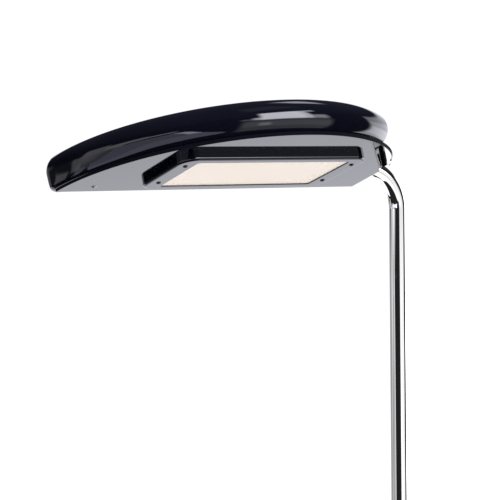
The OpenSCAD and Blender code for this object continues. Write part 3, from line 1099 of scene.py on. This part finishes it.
    def build(self) -> bpy.types.Object:
        """Makes the shell with its straight inner end.

        Returns:
            The new object.
        """
        stops = self.stations()
        inner = self.roll_r - self.wall
        skin = list(zip(*(self.section(s, self.roll_r, 0.0) for s in stops)))
        lining = list(zip(*(self.section(s, inner, self.wall) for s in stops)))
        inset = [self.roof_set[0] + self.roof_set[1] * self._press(s) for s in stops]
        rings: List[Ring] = [[self.drawn_in(s, k, self.roll_r) for s, k in zip(stops, inset)]]
        rings += skin
        rings += [[self.drawn_in(s, self.flange, z) for s in stops] for z in (-self.roll_r, -inner)]
        rings += lining[::-1]
        rings.append([self.drawn_in(s, k, inner) for s, k in zip(stops, inset)])
        hood = self.kit.loft("hood_shell", self.placed(rings), LACQUER, joined=False)
        # Painted shade inside the groove of the gap
        self.mark_painted_shade(hood, self._groove_shade)
        return hood

    def _groove_shade(self, point: Vector) -> float:
        """Marks the inside of the groove for painted shade, which makes it matt and almost free of reflection
        so it renders black.

        Args:
            point: A point of the shell in head millimetres.

        Returns:
            1 in the groove, 0 elsewhere.
        """
        c, s = polar(1.0, self.gap_mid)
        rise = point.z + self.roll_r
        out = point.x * c + (point.y + self.axis_set) * s
        wall = self.gap_wall - self.shade_set[1] - self.gap_draft * rise
        inside = self.gap_lip - self.shade_set[0] < out < wall and self.shade_rise[0] < rise < self.shade_rise[1]
        return 1.0 if inside and self.bearing(point) > self.gap_ends[0] + self.gap_ease else 0.0


@dataclass
class BottomPlate(HeadPiece):
    """The flat plate with its turned-up rim, the opening of the shadow gap and a row of screws."""

    rim_r: float = 250.0
    rim_h: float = 4.5
    rim_w: float = 2.2
    rim_slope: float = 2.0
    rim_lap: float = 0.2
    rim_start_deg: float = 0.5
    back: float = 2.5
    slot_d: float = 227.5
    strip: float = 2.4
    edge: float = 0.3
    arc_steps: int = 240
    strip_steps: int = 60
    screw_row: float = 18.0
    screw_x: Point = (202.95, 39.73, -123.48)
    # Near the rim's free end the painted shade eases so a highlight shows: by how much, and where it fades in
    # and out
    bright: float = 0.6
    bright_from: Flat = (136.0, 144.0)
    bright_to: Flat = (149.0, 152.0)

    def outline(self) -> List[Flat]:
        """Edge of the plate: the arc, the free strip of rim, the cut corner, the straight end and the back.

        Returns:
            Points in the head frame.
        """
        outer, inner = self.rim_r - self.rim_w + self.rim_lap, self.rim_r - self.strip
        mid, turn = math.radians(self.gap_mid), math.radians(self.end_turn)
        points = self._arc(outer, self._start_angle(outer), self._end_angle(outer), self.arc_steps)
        cut = mid - math.acos(self.slot_d / inner)
        points += self._arc(inner, self._end_angle(inner), cut, self.strip_steps)
        lead = self.end_d + self.axis_set * math.sin(turn)
        across = math.sin(turn - mid)
        x = (self.slot_d * math.sin(turn) - lead * math.sin(mid)) / across
        y = (lead * math.cos(mid) - self.slot_d * math.cos(turn)) / across
        points.append((x, y - self.axis_set))
        points.append(((self.end_d + self.back * math.sin(turn)) / math.cos(turn), -self.back))
        return points

    def _start_angle(self, r: float) -> float:
        """Where a circle about the centre of the curved front meets the back edge.

        Args:
            r: Its radius.

        Returns:
            Angle in radians.
        """
        return math.asin((self.axis_set - self.back) / r)

    def _end_angle(self, r: float) -> float:
        """Where a circle about the centre of the curved front meets the straight end.

        Args:
            r: Its radius.

        Returns:
            Angle in radians.
        """
        turn = math.radians(self.end_turn)
        return turn - math.acos((self.end_d + self.axis_set * math.sin(turn)) / r)

    def _arc(self, r: float, start: float, end: float, steps: int) -> List[Flat]:
        """Points along a circle about the centre of the curved front.

        Args:
            r: Its radius.
            start: First angle in radians.
            end: Last angle in radians.
            steps: Number of steps.

        Returns:
            Points in the head frame.
        """
        angles = [start + (end - start) * k / steps for k in range(steps + 1)]
        return [(r * math.cos(a), r * math.sin(a) - self.axis_set) for a in angles]

    def rim_rings(self) -> List[List[Vector]]:
        """Rings of the turned-up rim.

        Returns:
            One open ring for each point of the rim's section, in head millimetres.
        """
        low, high = self.under, self.under + self.rim_h
        inner, outer = self.rim_r - self.rim_w, self.rim_r
        corners = [(inner, low), (outer - self.rim_slope, low), (outer, high), (inner, high)]
        section = fillet(corners, [0.0, 0.4, 0.3, 0.15], 5)
        ends = (self._start_angle(outer) + math.radians(self.rim_start_deg), self._end_angle(outer))
        return [[Vector((*p, z)) for p in self._arc(r, *ends, self.arc_steps)] for r, z in section]

    def build(self) -> bpy.types.Object:
        """Makes plate and rim as one piece.

        Returns:
            The new object.
        """
        sheet = self._sheet()
        plate = self.kit.loft("plate_with_rim", self.placed(self.rim_rings()), LACQUER, closed=False)
        mesh = bmesh.new()
        mesh.from_mesh(plate.data)
        mesh.from_mesh(sheet)
        mesh.to_mesh(plate.data)
        mesh.free()
        bpy.data.meshes.remove(sheet)
        self.kit.shade(plate)
        # Painted shade on the rim's outer face
        self.mark_painted_shade(plate, self._rim_shade)
        return plate

    def _rim_shade(self, point: Vector) -> float:
        """Marks the outer face of the rim for painted shade: matt and dark along most of it, with the gloss
        partly kept near its free end so a highlight shows there.

        Args:
            point: A point of the plate in head millimetres.

        Returns:
            0 off the rim, up to 1 on it.
        """
        if math.hypot(point.x, point.y + self.axis_set) <= self.rim_r - self.rim_w + self.rim_lap + 0.03:
            return 0.0
        turn = self.bearing(point)
        # Band near the free end where the painted shade eases and a highlight shows
        highlight_band = smooth_step(turn, *self.bright_from) * (1.0 - smooth_step(turn, *self.bright_to))
        return 1.0 - self.bright * highlight_band

    def _sheet(self) -> bpy.types.Mesh:
        """Fills the outline as a bevelled sheet.

        Returns:
            A new mesh in metres in the lamp's frame.
        """
        curve = bpy.data.curves.new("sheet", "CURVE")
        curve.dimensions = "2D"
        curve.fill_mode = "BOTH"
        curve.extrude = self.plate_t / 2.0 - self.edge
        curve.bevel_depth = self.edge
        curve.bevel_resolution = 2
        curve.offset = -self.edge
        points = self.outline()
        spline = curve.splines.new("POLY")
        spline.points.add(len(points) - 1)
        for item, (x, y) in zip(spline.points, points):
            item.co = (x, y, 0.0, 1.0)
        spline.use_cyclic_u = True
        obj = link_object("sheet", curve)
        mesh = bpy.data.meshes.new_from_object(obj.evaluated_get(bpy.context.evaluated_depsgraph_get()))
        mesh.transform(self.pose.head() @ Matrix.Translation((0.0, 0.0, self.under + self.plate_t / 2.0)))
        work = bmesh.new()
        work.from_mesh(mesh)
        bmesh.ops.remove_doubles(work, verts=work.verts, dist=self.kit.weld_m)
        bmesh.ops.recalc_face_normals(work, faces=work.faces)
        work.to_mesh(mesh)
        work.free()
        bpy.data.objects.remove(obj)
        bpy.data.curves.remove(curve)
        return mesh

    def screw_points(self) -> List[Vector]:
        """Places of the plate's screws.

        Returns:
            Points on the lower face in metres.
        """
        return self.placed([[Vector((x, self.screw_row, self.under)) for x in self.screw_x]])[0]


@dataclass
class LightBox(HeadPiece):
    """The shallow box under the plate, its diffuser and its screws."""

    width: float = 289.0
    depth: float = 128.0
    height: float = 9.5
    corner: float = 22.0
    shift: float = 3.0
    front: float = 160.0
    wall: float = 2.0
    face: float = 1.5
    edge: float = 3.6
    edge_steps: int = 10
    window: Flat = (236.0, 101.0)
    window_set: float = 13.5
    window_corner: float = 4.0
    lap: float = 3.0
    pane: float = 2.0
    pane_gap: float = 0.05
    screw_x: float = 130.0
    screw_set: float = 26.5
    screw_step: float = 70.0

    @property
    def low(self) -> float:
        """Height of the box's lower face.

        Returns:
            Its z in the head frame.
        """
        return self.under - self.height

    def _ring(self, inset: float, z: float) -> List[Vector]:
        """Outline of the box drawn in by an inset.

        Args:
            inset: How far inside the outer wall.
            z: Height.

        Returns:
            Points in head millimetres.
        """
        middle = (self.shift, self.front - self.depth / 2.0)
        size = (self.width - 2.0 * inset, self.depth - 2.0 * inset)
        return [Vector((*p, z)) for p in round_box(*size, self.corner - inset, middle)]

    def _window_ring(self, grow: float, z: float) -> List[Vector]:
        """Outline of the window, grown.

        Args:
            grow: How far outside the opening.
            z: Height.

        Returns:
            Points in head millimetres.
        """
        middle = (self.shift, self.front - self.window_set - self.window[1] / 2.0)
        size = (self.window[0] + 2.0 * grow, self.window[1] + 2.0 * grow)
        return [Vector((*p, z)) for p in round_box(*size, self.window_corner + grow, middle)]

    def build_case(self) -> bpy.types.Object:
        """Makes the frame and walls.

        Returns:
            The new object.
        """
        low, inside = self.low, self.low + self.face
        rings = [self._ring(0.0, self.under), self._ring(0.0, low + self.edge)]
        for k in range(1, self.edge_steps + 1):
            x, y = polar(self.edge, 90.0 * k / self.edge_steps)
            rings.append(self._ring(self.edge - x, low + self.edge - y))
        mouth = ((0.5, low), (0.15, low + 0.15), (0.0, low + 0.5), (0.0, inside))
        rings += [self._window_ring(grow, z) for grow, z in mouth]
        rings.append(self._ring(self.edge, inside))
        rings += [self._ring(self.wall, z) for z in (inside + self.edge - self.wall, self.under)]
        return self.kit.loft("light_case", self.placed(rings), LACQUER)

    def build_pane(self) -> bpy.types.Object:
        """Makes the diffuser.

        Returns:
            The new object.
        """
        low = self.low + self.face + self.pane_gap
        high = low + self.pane
        bevel = ((0.4, 0.0), (0.1, 0.1), (0.0, 0.4))
        rings = [self._window_ring(self.lap - less, low + up) for less, up in bevel]
        rings += [self._window_ring(self.lap - less, high - up) for less, up in reversed(bevel)]
        return self.kit.loft("opal_pane", self.placed(rings), OPAL, joined=False)

    def screw_points(self) -> List[Vector]:
        """Places of the frame screws.

        Returns:
            Points on the face in metres.
        """
        rows = (self.front - self.screw_set, self.front - self.screw_set - self.screw_step)
        points = [Vector((self.shift + sx * self.screw_x, y, self.low)) for sx in (-1, 1) for y in rows]
        return self.placed([points])[0]


@dataclass
class ScrewForm:
    """A low dome screw with a round recess, its head below z = 0."""

    kit: MeshKit
    length: float
    shank_r: float = 1.7
    head_r: float = 3.4
    head_t: float = 1.6
    recess_d: float = 0.5
    core_r: float = 0.05
    point: float = 0.3
    sides: int = 32

    def build(self, name: str) -> bpy.types.Object:
        """Makes one screw about the origin.

        Args:
            name: Name of the pattern.

        Returns:
            The new object.
        """
        dome = [(polar(self.head_r, a)[0], -polar(self.head_t, a)[1]) for a in range(0, 61, 12)]
        recess = [(self.head_r * 0.42, dome[-1][1] - 0.08), (self.head_r * 0.38, -self.recess_d)]
        core = [(self.core_r, -self.recess_d), (self.core_r, self.length)]
        shank = [(self.shank_r - self.point, self.length), (self.shank_r, self.length - self.point)]
        profile = dome + recess + core + shank + [(self.shank_r, 0.05)]
        return self.kit.lathe(name, profile, ZINC, self.sides)


@dataclass
class Stem:
    """The two chromed tubes."""

    kit: MeshKit
    pose: Pose
    radius: float = 12.5
    bend_r: float = 60.0
    bend_steps: int = 40
    joint_h: float = 850.0
    joint_gap: float = 0.35
    joint_step: float = 2.0
    foot_h: float = 30.7
    arm_end: float = -304.1

    def upper_path(self) -> List[Point]:
        """Centre line of the upper tube, the bend and the arm.

        Returns:
            Points in millimetres.
        """
        top = self.pose.arm_h
        path: List[Point] = [(0.0, 0.0, self.joint_h + up) for up in (self.joint_gap, self.joint_step)]
        for k in range(self.bend_steps + 1):
            x, z = polar(self.bend_r, 90.0 * k / self.bend_steps)
            path.append((x - self.bend_r, 0.0, top - self.bend_r + z))
        path.append((self.arm_end, 0.0, top))
        return path

    def build(self) -> List[bpy.types.Object]:
        """Makes both tubes.

        Returns:
            Upper and lower tube.
        """
        tubes = TubeTree(self.kit)
        low = (self.foot_h, self.joint_h - self.joint_step, self.joint_h - self.joint_gap)
        paths = {"tube_upper": self.upper_path(), "tube_lower": [(0.0, 0.0, z) for z in low]}
        return [tubes.sweep(name, path, self.radius, CHROME) for name, path in paths.items()]


@dataclass
class Base:
    """The turned pieces of the base."""

    kit: MeshKit
    radius: float = 160.0
    edge: float = 9.0
    wall: float = 2.0
    low: float = 3.0
    top: float = 23.0
    hole_r: float = 9.4
    spigot_r: float = 9.0
    spigot_low: float = 4.5
    wire_r: float = 5.0
    bore_r: float = 12.55
    socket_h: float = 46.0
    socket_wall: float = 4.5
    socket_floor: float = 6.0
    flange_r: float = 32.5
    flange_t: Flat = (4.0, 5.5)
    button_y: float = -105.0
    button_r: float = 13.0
    button_up: float = 6.0
    button_low: float = 10.4
    skirt: Flat = (2.5, 3.0)
    gland_z: float = 10.5

    def build_cover(self) -> bpy.types.Object:
        """Makes the lacquered cover.

        Returns:
            The new object.
        """
        inner, under = self.radius - self.wall, self.top - self.wall
        corners = [(self.hole_r, self.top), (self.radius, self.top), (self.radius, self.low)]
        corners += [(inner, self.low), (inner, under), (self.hole_r, under)]
        radii = [0.0, self.edge, 0.5, 0.5, self.edge - self.wall, 0.0]
        return self.kit.lathe("base_lid", fillet(corners, radii, 14), BASE_LACQUER, 192)

    def build_socket(self) -> bpy.types.Object:
        """Makes the chromed flange and neck.

        Returns:
            The new object.
        """
        neck = self.bore_r + self.socket_wall
        up, floor = self.top + self.socket_h, self.top + self.socket_floor
        corners = [(self.wire_r, self.spigot_low), (self.spigot_r, self.spigot_low)]
        corners += [(self.spigot_r, self.top), (self.flange_r, self.top)]
        corners.append((self.flange_r, self.top + self.flange_t[0]))
        corners += [(neck, self.top + self.flange_t[1]), (neck, up)]
        corners += [(self.bore_r, up), (self.bore_r, floor), (self.wire_r, floor)]
        radii = [0.0, 0.0, 0.0, 0.3, 1.6, 3.0, 1.4, 0.5, 0.0, 0.0]
        return self.kit.lathe("neck_socket", fillet(corners, radii, 8), CHROME, 96)

    def build_button(self) -> bpy.types.Object:
        """Makes the foot button with a dished, ringed top.

        Returns:
            The new object.
        """
        up, r, low = self.top + self.button_up, self.button_r, self.button_low
        out, shelf = r + self.skirt[0], low + self.skirt[1]
        skirt = fillet([(out, low), (out, shelf), (r, shelf), (r, up)], [0.3, 0.3, 0.0, 1.8], 8)
        ring = [(r - 3.0, up), (r - 3.3, up - 0.35), (r - 3.9, up - 0.35), (r - 4.2, up)]
        dish = [(r - 6.0, up - 0.15), (r - 9.0, up - 0.45), (0.4, up - 0.7), (0.4, low)]
        place = Matrix.Translation((0.0, self.button_y * MM, 0.0))
        return self.kit.lathe("foot_button", skirt + ring + dish, CHROME, 72, place)

    def build_gland(self) -> bpy.types.Object:
        """Makes the rounded cord inlet.

        Returns:
            The new object.
        """
        corners = [(3.6, -3.0), (5.5, -3.0), (5.5, 2.0), (7.5, 2.0), (7.5, 4.0), (3.6, 4.0)]
        turn = Matrix.Rotation(-math.pi / 2.0, 4, "X")
        place = Matrix.Translation(Vector((0.0, self.radius - self.wall, self.gland_z)) * MM) @ turn
        radii = [0.0, 0.3, 0.0, 0.4, 0.9, 0.6]
        return self.kit.lathe("cord_inlet_bush", fillet(corners, radii, 5), RUBBER, 48, place)


WHITE: Light = (1.0, 1.0, 1.0, 1.0)
SKY: Light = (0.91, 0.91, 1.0, 1.0)
COOL: Light = (0.85, 0.88, 1.14, 1.0)


@dataclass(frozen=True)
class Panel:
    """A soft-edged bright patch, in degrees of bearing from the camera's side and of height."""

    bearing: Flat
    height: Flat
    soft: float
    light: float


PANELS: Tuple[Panel, ...] = (
    # Ceiling and back
    Panel((-200.0, 200.0), (28.0, 100.0), 12.0, 0.04),
    Panel((117.0, 200.0), (-64.0, 18.0), 2.5, 1.4),
    Panel((-200.0, -150.0), (-64.0, 16.0), 3.0, 1.4),
    Panel((117.0, 150.0), (-36.0, 8.0), 4.0, 1.2),
    Panel((117.0, 142.0), (-24.0, -4.0), 4.0, 1.6),
    # Right
    Panel((92.0, 117.0), (-62.0, -46.0), 3.0, 2.0),
    Panel((35.0, 64.0), (5.0, 38.0), 2.5, 12.0),
    Panel((64.0, 69.0), (5.0, 38.0), 2.5, 9.0),
    Panel((69.0, 80.0), (5.0, 19.0), 3.0, 4.0),
    Panel((69.0, 78.0), (34.0, 38.0), 2.0, 8.0),
    Panel((35.0, 42.0), (-12.0, -5.0), 2.0, 1.8),
    Panel((23.0, 29.0), (6.0, 12.0), 2.0, 1.5),
    Panel((30.0, 35.0), (6.0, 16.0), 2.5, 7.0),
    Panel((25.0, 82.0), (-32.0, 3.0), 3.0, 0.7),
    Panel((25.0, 82.0), (-15.0, -1.0), 3.0, 0.4),
    Panel((138.0, 162.0), (48.0, 60.0), 3.0, 3.0),
    Panel((30.0, 90.0), (56.0, 76.0), 6.0, 0.2),
    # Left
    Panel((-146.0, -112.0), (-16.0, 8.0), 4.0, 0.45),
    Panel((-112.0, -84.0), (-16.0, 4.0), 4.0, 0.05),
    Panel((-103.5, -91.0), (-27.0, -2.5), 1.2, 0.75),
    Panel((-88.0, -80.0), (-6.0, 3.0), 1.5, 0.8),
    Panel((-84.0, -47.0), (-16.0, -1.0), 2.0, 0.45),
    Panel((-54.0, -47.0), (-16.0, -1.0), 2.0, 0.6),
    Panel((-80.0, -61.0), (-1.0, 13.0), 2.5, 1.2),
    Panel((-61.0, -33.0), (-1.0, 7.5), 2.5, 1.7),
    Panel((-33.0, -14.0), (1.0, 4.0), 2.0, 3.2),
    Panel((-152.0, -122.0), (-48.0, -18.0), 4.0, 1.4),
)


@dataclass(frozen=True)
class Card:
    """A bright card low beside the lamp, facing up, by its outline to the right of and towards the camera.

    At slants finer than grazing, the sine of the angle to the card, it is clear.
    """

    name: str
    outline: Tuple[Flat, ...]
    light: float
    colour: Light = COOL
    height: float = 1.45
    grazing: float = 0.07


CARDS: Tuple[Card, ...] = (
    Card(
        "bend_card",
        ((0.055, -0.42), (0.055, -0.35), (0.16, -0.35), (0.165, -0.39), (0.14, -0.415)),
        1.38,
        SKY,
        1.58,
        0.2,
    ),
    Card(
        "bend_bright_card",
        (
            *((0.158, -0.350), (0.178, -0.328), (0.192, -0.295), (0.23, -0.25)),
            *((0.27, -0.30), (0.24, -0.35), (0.20, -0.354), (0.175, -0.353)),
        ),
        1.2,
        WHITE,
        1.63,
        0.2,
    ),
    Card(
        "low_card",
        (
            *((-0.49, 0.07), (-0.44, 0.18), (-0.37, 0.30), (-0.24, 0.38), (-0.10, 0.48), (0.05, 0.52)),
            *((0.14, 0.60), (0.13, 0.75), (-0.02, 1.25), (-1.18, 0.33), (-0.80, 0.195), (-0.62, 0.12)),
        ),
        1.3,
        grazing=0.1,
    ),
    Card(
        "far_low_card",
        (
            *((-0.02, 1.25), (-0.20, 1.90), (-0.55, 3.20), (-1.40, 6.00)),
            *((-6.00, 5.00), (-6.00, 1.95), (-1.18, 0.33)),
        ),
        0.95,
    ),
    Card(
        "side_card",
        (
            *((-0.55, 0.02), (-0.66, 0.07), (-0.84, 0.14), (-1.22, 0.25)),
            *((-1.10, 0.09), (-0.75, 0.03), (-0.62, -0.02)),
        ),
        1.15,
    ),
    Card(
        "far_side_card",
        ((-1.22, 0.25), (-6.00, 1.55), (-6.00, 0.65), (-2.90, 0.31), (-1.10, 0.09)),
        0.95,
    ),
    Card(
        "edge_card",
        (
            *((-0.02, 1.20), (-0.18, 1.90), (-0.50, 3.20), (-1.35, 6.00)),
            *((-2.60, 6.00), (-0.95, 3.20), (-0.42, 1.90), (-0.20, 1.20)),
        ),
        4.2,
    ),
)


@dataclass
class Studio:
    """Surroundings, lights, floor and camera."""

    eye: Point = (-1.6254, -2.0776, 1.6995)
    yaw_deg: float = -33.35
    pitch_deg: float = -2.55
    roll_deg: float = -0.68
    focal_px: float = 1800.0
    image_px: float = 500.0
    sensor_mm: float = 36.0
    far: float = 100.0
    gloom: float = 0.018
    backdrop: float = 1.05
    cards_from: Flat = (-0.36, -0.22)
    card_step: float = 0.001
    card_ease: Flat = (0.85, 1.15)
    floor_r: float = 2.2
    floor_z: float = -0.0006
    floor_colour: Light = (0.84, 0.84, 0.84, 1.0)
    floor_rough: float = 0.7
    lamp_colour: Colour = (0.92, 0.93, 1.0)
    lamp_aim: Point = (-0.1, 0.0, 0.8)

    def camera(self) -> bpy.types.Object:
        """Makes the camera of the photograph.

        Returns:
            The camera object.
        """
        yaw, pitch, roll = (math.radians(v) for v in (self.yaw_deg, self.pitch_deg, self.roll_deg))
        ahead = Vector((-math.sin(yaw) * math.cos(pitch), math.cos(yaw) * math.cos(pitch), math.sin(pitch)))
        right = Vector((math.cos(yaw), math.sin(yaw), 0.0))
        up = right.cross(ahead)
        tilted = right * math.cos(roll) + up * math.sin(roll)
        upright = up * math.cos(roll) - right * math.sin(roll)
        data = bpy.data.cameras.new("camera")
        data.sensor_width = self.sensor_mm
        data.lens = self.focal_px * self.sensor_mm / self.image_px
        data.clip_end = self.far
        obj = link_object("camera", data)
        turn = Matrix((tilted, upright, -ahead)).transposed().to_4x4()
        obj.matrix_world = Matrix.Translation(Vector(self.eye)) @ turn
        bpy.context.scene.camera = obj
        return obj

    def surroundings(self) -> None:
        """Builds the world: a white backdrop for the camera, and soft panels for reflections."""
        bpy.context.scene.view_settings.view_transform = "Standard"
        world = bpy.data.worlds.new("studio")
        bpy.context.scene.world = world
        world.use_nodes = True
        wiring = Wiring(world.node_tree)
        wiring.tree.nodes.clear()
        facing = {"Vector": wiring.add("ShaderNodeTexCoord").outputs["Generated"]}
        facing["Angle"] = math.radians(-self.yaw_deg)
        turn = wiring.add("ShaderNodeVectorRotate", facing, rotation_type="Z_AXIS")
        split = wiring.add("ShaderNodeSeparateXYZ", {"Vector": turn.outputs["Vector"]})
        near = wiring.maths("MULTIPLY", split.outputs["Y"], -1.0)
        bearing = wiring.maths("DEGREES", wiring.maths("ARCTAN2", split.outputs["X"], near))
        height = wiring.maths("DEGREES", wiring.maths("ARCSINE", split.outputs["Z"]))
        total: object = self.gloom
        for panel in PANELS:
            across = self._within(wiring, bearing, panel.bearing, panel.soft)
            upright = self._within(wiring, height, panel.height, panel.soft)
            patch = wiring.maths("MULTIPLY", across, upright)
            total = wiring.maths("ADD", wiring.maths("MULTIPLY", patch, panel.light), total)
        seen = wiring.add("ShaderNodeLightPath").outputs["Is Camera Ray"]
        levels = {FACTOR: seen, FLOAT_A: total, FLOAT_B: self.backdrop}
        strength = wiring.add("ShaderNodeMix", levels, data_type="FLOAT").outputs[FLOAT_OUT]
        tints = {FACTOR: seen, COLOUR_A: SKY, COLOUR_B: WHITE}
        tint = wiring.add("ShaderNodeMix", tints, data_type="RGBA").outputs[COLOUR_OUT]
        sky = wiring.add("ShaderNodeBackground", {"Color": tint, "Strength": strength})
        wiring.add("ShaderNodeOutputWorld", {"Surface": sky.outputs["Background"]})

    @staticmethod
    def _within(wiring: Wiring, value: bpy.types.NodeSocket, ends: Flat, soft: float) -> bpy.types.NodeSocket:
        """Tells softly whether an angle lies between two ends.

        Args:
            wiring: The tree to work in.
            value: The angle in degrees.
            ends: The two ends.
            soft: Half the width of the change at each end.

        Returns:
            1 between the ends, 0 outside.
        """
        rise = wiring.ramp(value, (ends[0] - soft, ends[0] + soft), kind=SMOOTH)
        fall = wiring.ramp(value, (ends[1] - soft, ends[1] + soft), (1.0, 0.0), SMOOTH)
        return wiring.maths("MULTIPLY", rise, fall)

    def floor(self) -> bpy.types.Object:
        """Makes the pale floor.

        Returns:
            The floor object.
        """
        mesh = bmesh.new()
        level = Matrix.Translation((0.0, 0.0, self.floor_z))
        bmesh.ops.create_circle(mesh, cap_ends=True, radius=self.floor_r, segments=128, matrix=level)
        data = bpy.data.meshes.new("floor")
        mesh.to_mesh(data)
        mesh.free()
        obj = link_object("floor", data)
        material = bpy.data.materials.new("pale_floor")
        material.use_nodes = True
        wiring = Wiring(material.node_tree)
        looks = {"Base Color": self.floor_colour, "Roughness": self.floor_rough}
        wiring.feed(wiring.tree.nodes["Principled BSDF"], looks)
        data.materials.append(material)
        obj.visible_glossy = False
        return obj

    def lamps(self) -> None:
        """Adds the overhead and fill lights, which neither the camera nor reflections show."""
        for name, place, size, power in (
            ("overhead", (0.0, 0.0, 4.2), 3.2, 230.0),
            ("fill", (-2.6, -3.0, 2.6), 2.0, 60.0),
        ):
            data = bpy.data.lights.new(name, "AREA")
            data.shape = "RECTANGLE"
            data.size = data.size_y = size
            data.energy = power
            data.color = self.lamp_colour
            aim = Vector(self.lamp_aim) - Vector(place)
            obj = link_object(name, data)
            obj.matrix_world = Matrix.Translation(place) @ aim.to_track_quat("-Z", "Y").to_matrix().to_4x4()
            obj.visible_camera = obj.visible_glossy = False

    def cards(self) -> None:
        """Sets up the low cards that only reflections show."""
        yaw = math.radians(self.yaw_deg)
        right = Vector((math.cos(yaw), math.sin(yaw), 0.0))
        near = Vector((math.sin(yaw), -math.cos(yaw), 0.0))
        for rank, card in enumerate(CARDS):
            start = Vector((*self.cards_from, card.height + self.card_step * rank))
            mesh = bmesh.new()
            face = mesh.faces.new([mesh.verts.new(start + right * x + near * y) for x, y in card.outline])
            face.normal_update()
            if face.normal.z < 0.0:
                face.normal_flip()
            data = bpy.data.meshes.new(card.name)
            mesh.to_mesh(data)
            mesh.free()
            data.materials.append(self._glow(card))
            obj = link_object(card.name, data)
            obj.visible_camera = obj.visible_diffuse = obj.visible_shadow = obj.visible_transmission = False

    def _glow(self, card: Card) -> bpy.types.Material:
        """Makes a material that shines on its upper side and clears below and at a slant.

        Args:
            card: The card.

        Returns:
            The new material.
        """
        material = bpy.data.materials.new(card.name)
        material.use_nodes = True
        wiring = Wiring(material.node_tree)
        wiring.tree.nodes.clear()
        behind = wiring.add("ShaderNodeNewGeometry").outputs["Backfacing"]
        slant = wiring.add("ShaderNodeLayerWeight").outputs["Facing"]
        span = (1.0 - self.card_ease[0] * card.grazing, 1.0 - self.card_ease[1] * card.grazing)
        front = wiring.ramp(behind, (0.0, 1.0), (1.0, 0.0))
        shown = wiring.maths("MULTIPLY", front, wiring.ramp(slant, span))
        shine = wiring.add("ShaderNodeEmission", {"Color": card.colour, "Strength": card.light})
        clear = wiring.add("ShaderNodeBsdfTransparent")
        sides = {0: shown, 1: clear.outputs["BSDF"], 2: shine.outputs["Emission"]}
        mix = wiring.add("ShaderNodeMixShader", sides)
        wiring.add("ShaderNodeOutputMaterial", {"Surface": mix.outputs["Shader"]})
        return material


class Lamp:
    """Builds every piece in order and ties it to its body."""

    box_screw_length: float = 13.0
    plate_screw_length: float = 11.0
    plate_shank_r: float = 1.5

    def __init__(self, frame: Dict[str, object]) -> None:
        """Keeps the frame and prepares the tools.
        """
        self.frame = frame
        self.kit = MeshKit(FinishShop())
        self.pose = Pose()

    def fix(self, obj: bpy.types.Object, body: Body, finish: Finish, *nodes: str) -> None:
        """Ties a new piece to its body and hides the pieces it stands for.

        Args:
            obj: The new piece.
            body: The body that carries it.
            finish: Its finish; not used.
            nodes: Names of the pieces it stands for.
        """
        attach(obj, body.value)
        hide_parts(*nodes)
        LOG.info("%s on %s, %d faces", obj.name, body.value, len(obj.data.polygons))

    def head(self) -> None:
        """Makes the head."""
        plate = BottomPlate(self.kit, self.pose)
        box = LightBox(self.kit, self.pose)
        self.fix(Hood(self.kit, self.pose).build(), Body.HEAD, LACQUER, "hood")
        self.fix(plate.build(), Body.HEAD, LACQUER, "bottom_plate")
        self.fix(box.build_case(), Body.HEAD, LACQUER, "light_box")
        self.fix(box.build_pane(), Body.HEAD, OPAL, "diffuser")
        copies = ScatterTree(self.kit)
        turn = self.pose.head().to_3x3().normalized()
        form = ScrewForm(self.kit, self.box_screw_length).build("box_screw")
        screws = copies.scatter("face_screws", form, box.screw_points(), turn, BLACK_STEEL)
        self.fix(screws, Body.HEAD, BLACK_STEEL, "box_screws")
        form = ScrewForm(self.kit, self.plate_screw_length, self.plate_shank_r).build("plate_screw")
        screws = copies.scatter("row_screws", form, plate.screw_points(), turn, ZINC)
        self.fix(screws, Body.HEAD, ZINC, "plate_screws")

    def stem(self) -> None:
        """Makes the stem."""
        upper, lower = Stem(self.kit, self.pose).build()
        self.fix(upper, Body.STEM, CHROME, "stem_upper")
        self.fix(lower, Body.STEM, CHROME, "stem_lower")

    def base(self) -> None:
        """Makes the base and its button."""
        base = Base(self.kit)
        self.fix(base.build_cover(), Body.BASE, BASE_LACQUER, "base_cover")
        self.fix(base.build_socket(), Body.BASE, CHROME, "stem_socket")
        self.fix(base.build_gland(), Body.BASE, RUBBER, "cord_gland")
        self.fix(base.build_button(), Body.BUTTON, CHROME, "switch_button")

    def carried(self) -> None:
        """Gives the pieces that keep their own shape a finish."""
        for finish, names in CARRIED.items():
            for name in names:
                for entry in self.frame["nodes"][name].material_slots:
                    entry.material = self.kit.shop.material(finish)
                LOG.info("%s keeps its shape in %s", name, finish.name)


def main() -> None:
    """Builds the scene."""
    logging.basicConfig(level=logging.INFO, format="%(message)s")
    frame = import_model()
    studio = Studio()
    studio.camera()
    studio.surroundings()
    studio.floor()
    studio.lamps()
    studio.cards()
    lamp = Lamp(frame)
    lamp.head()
    lamp.stem()
    lamp.base()
    lamp.carried()


if __name__ == "__main__":
    main()
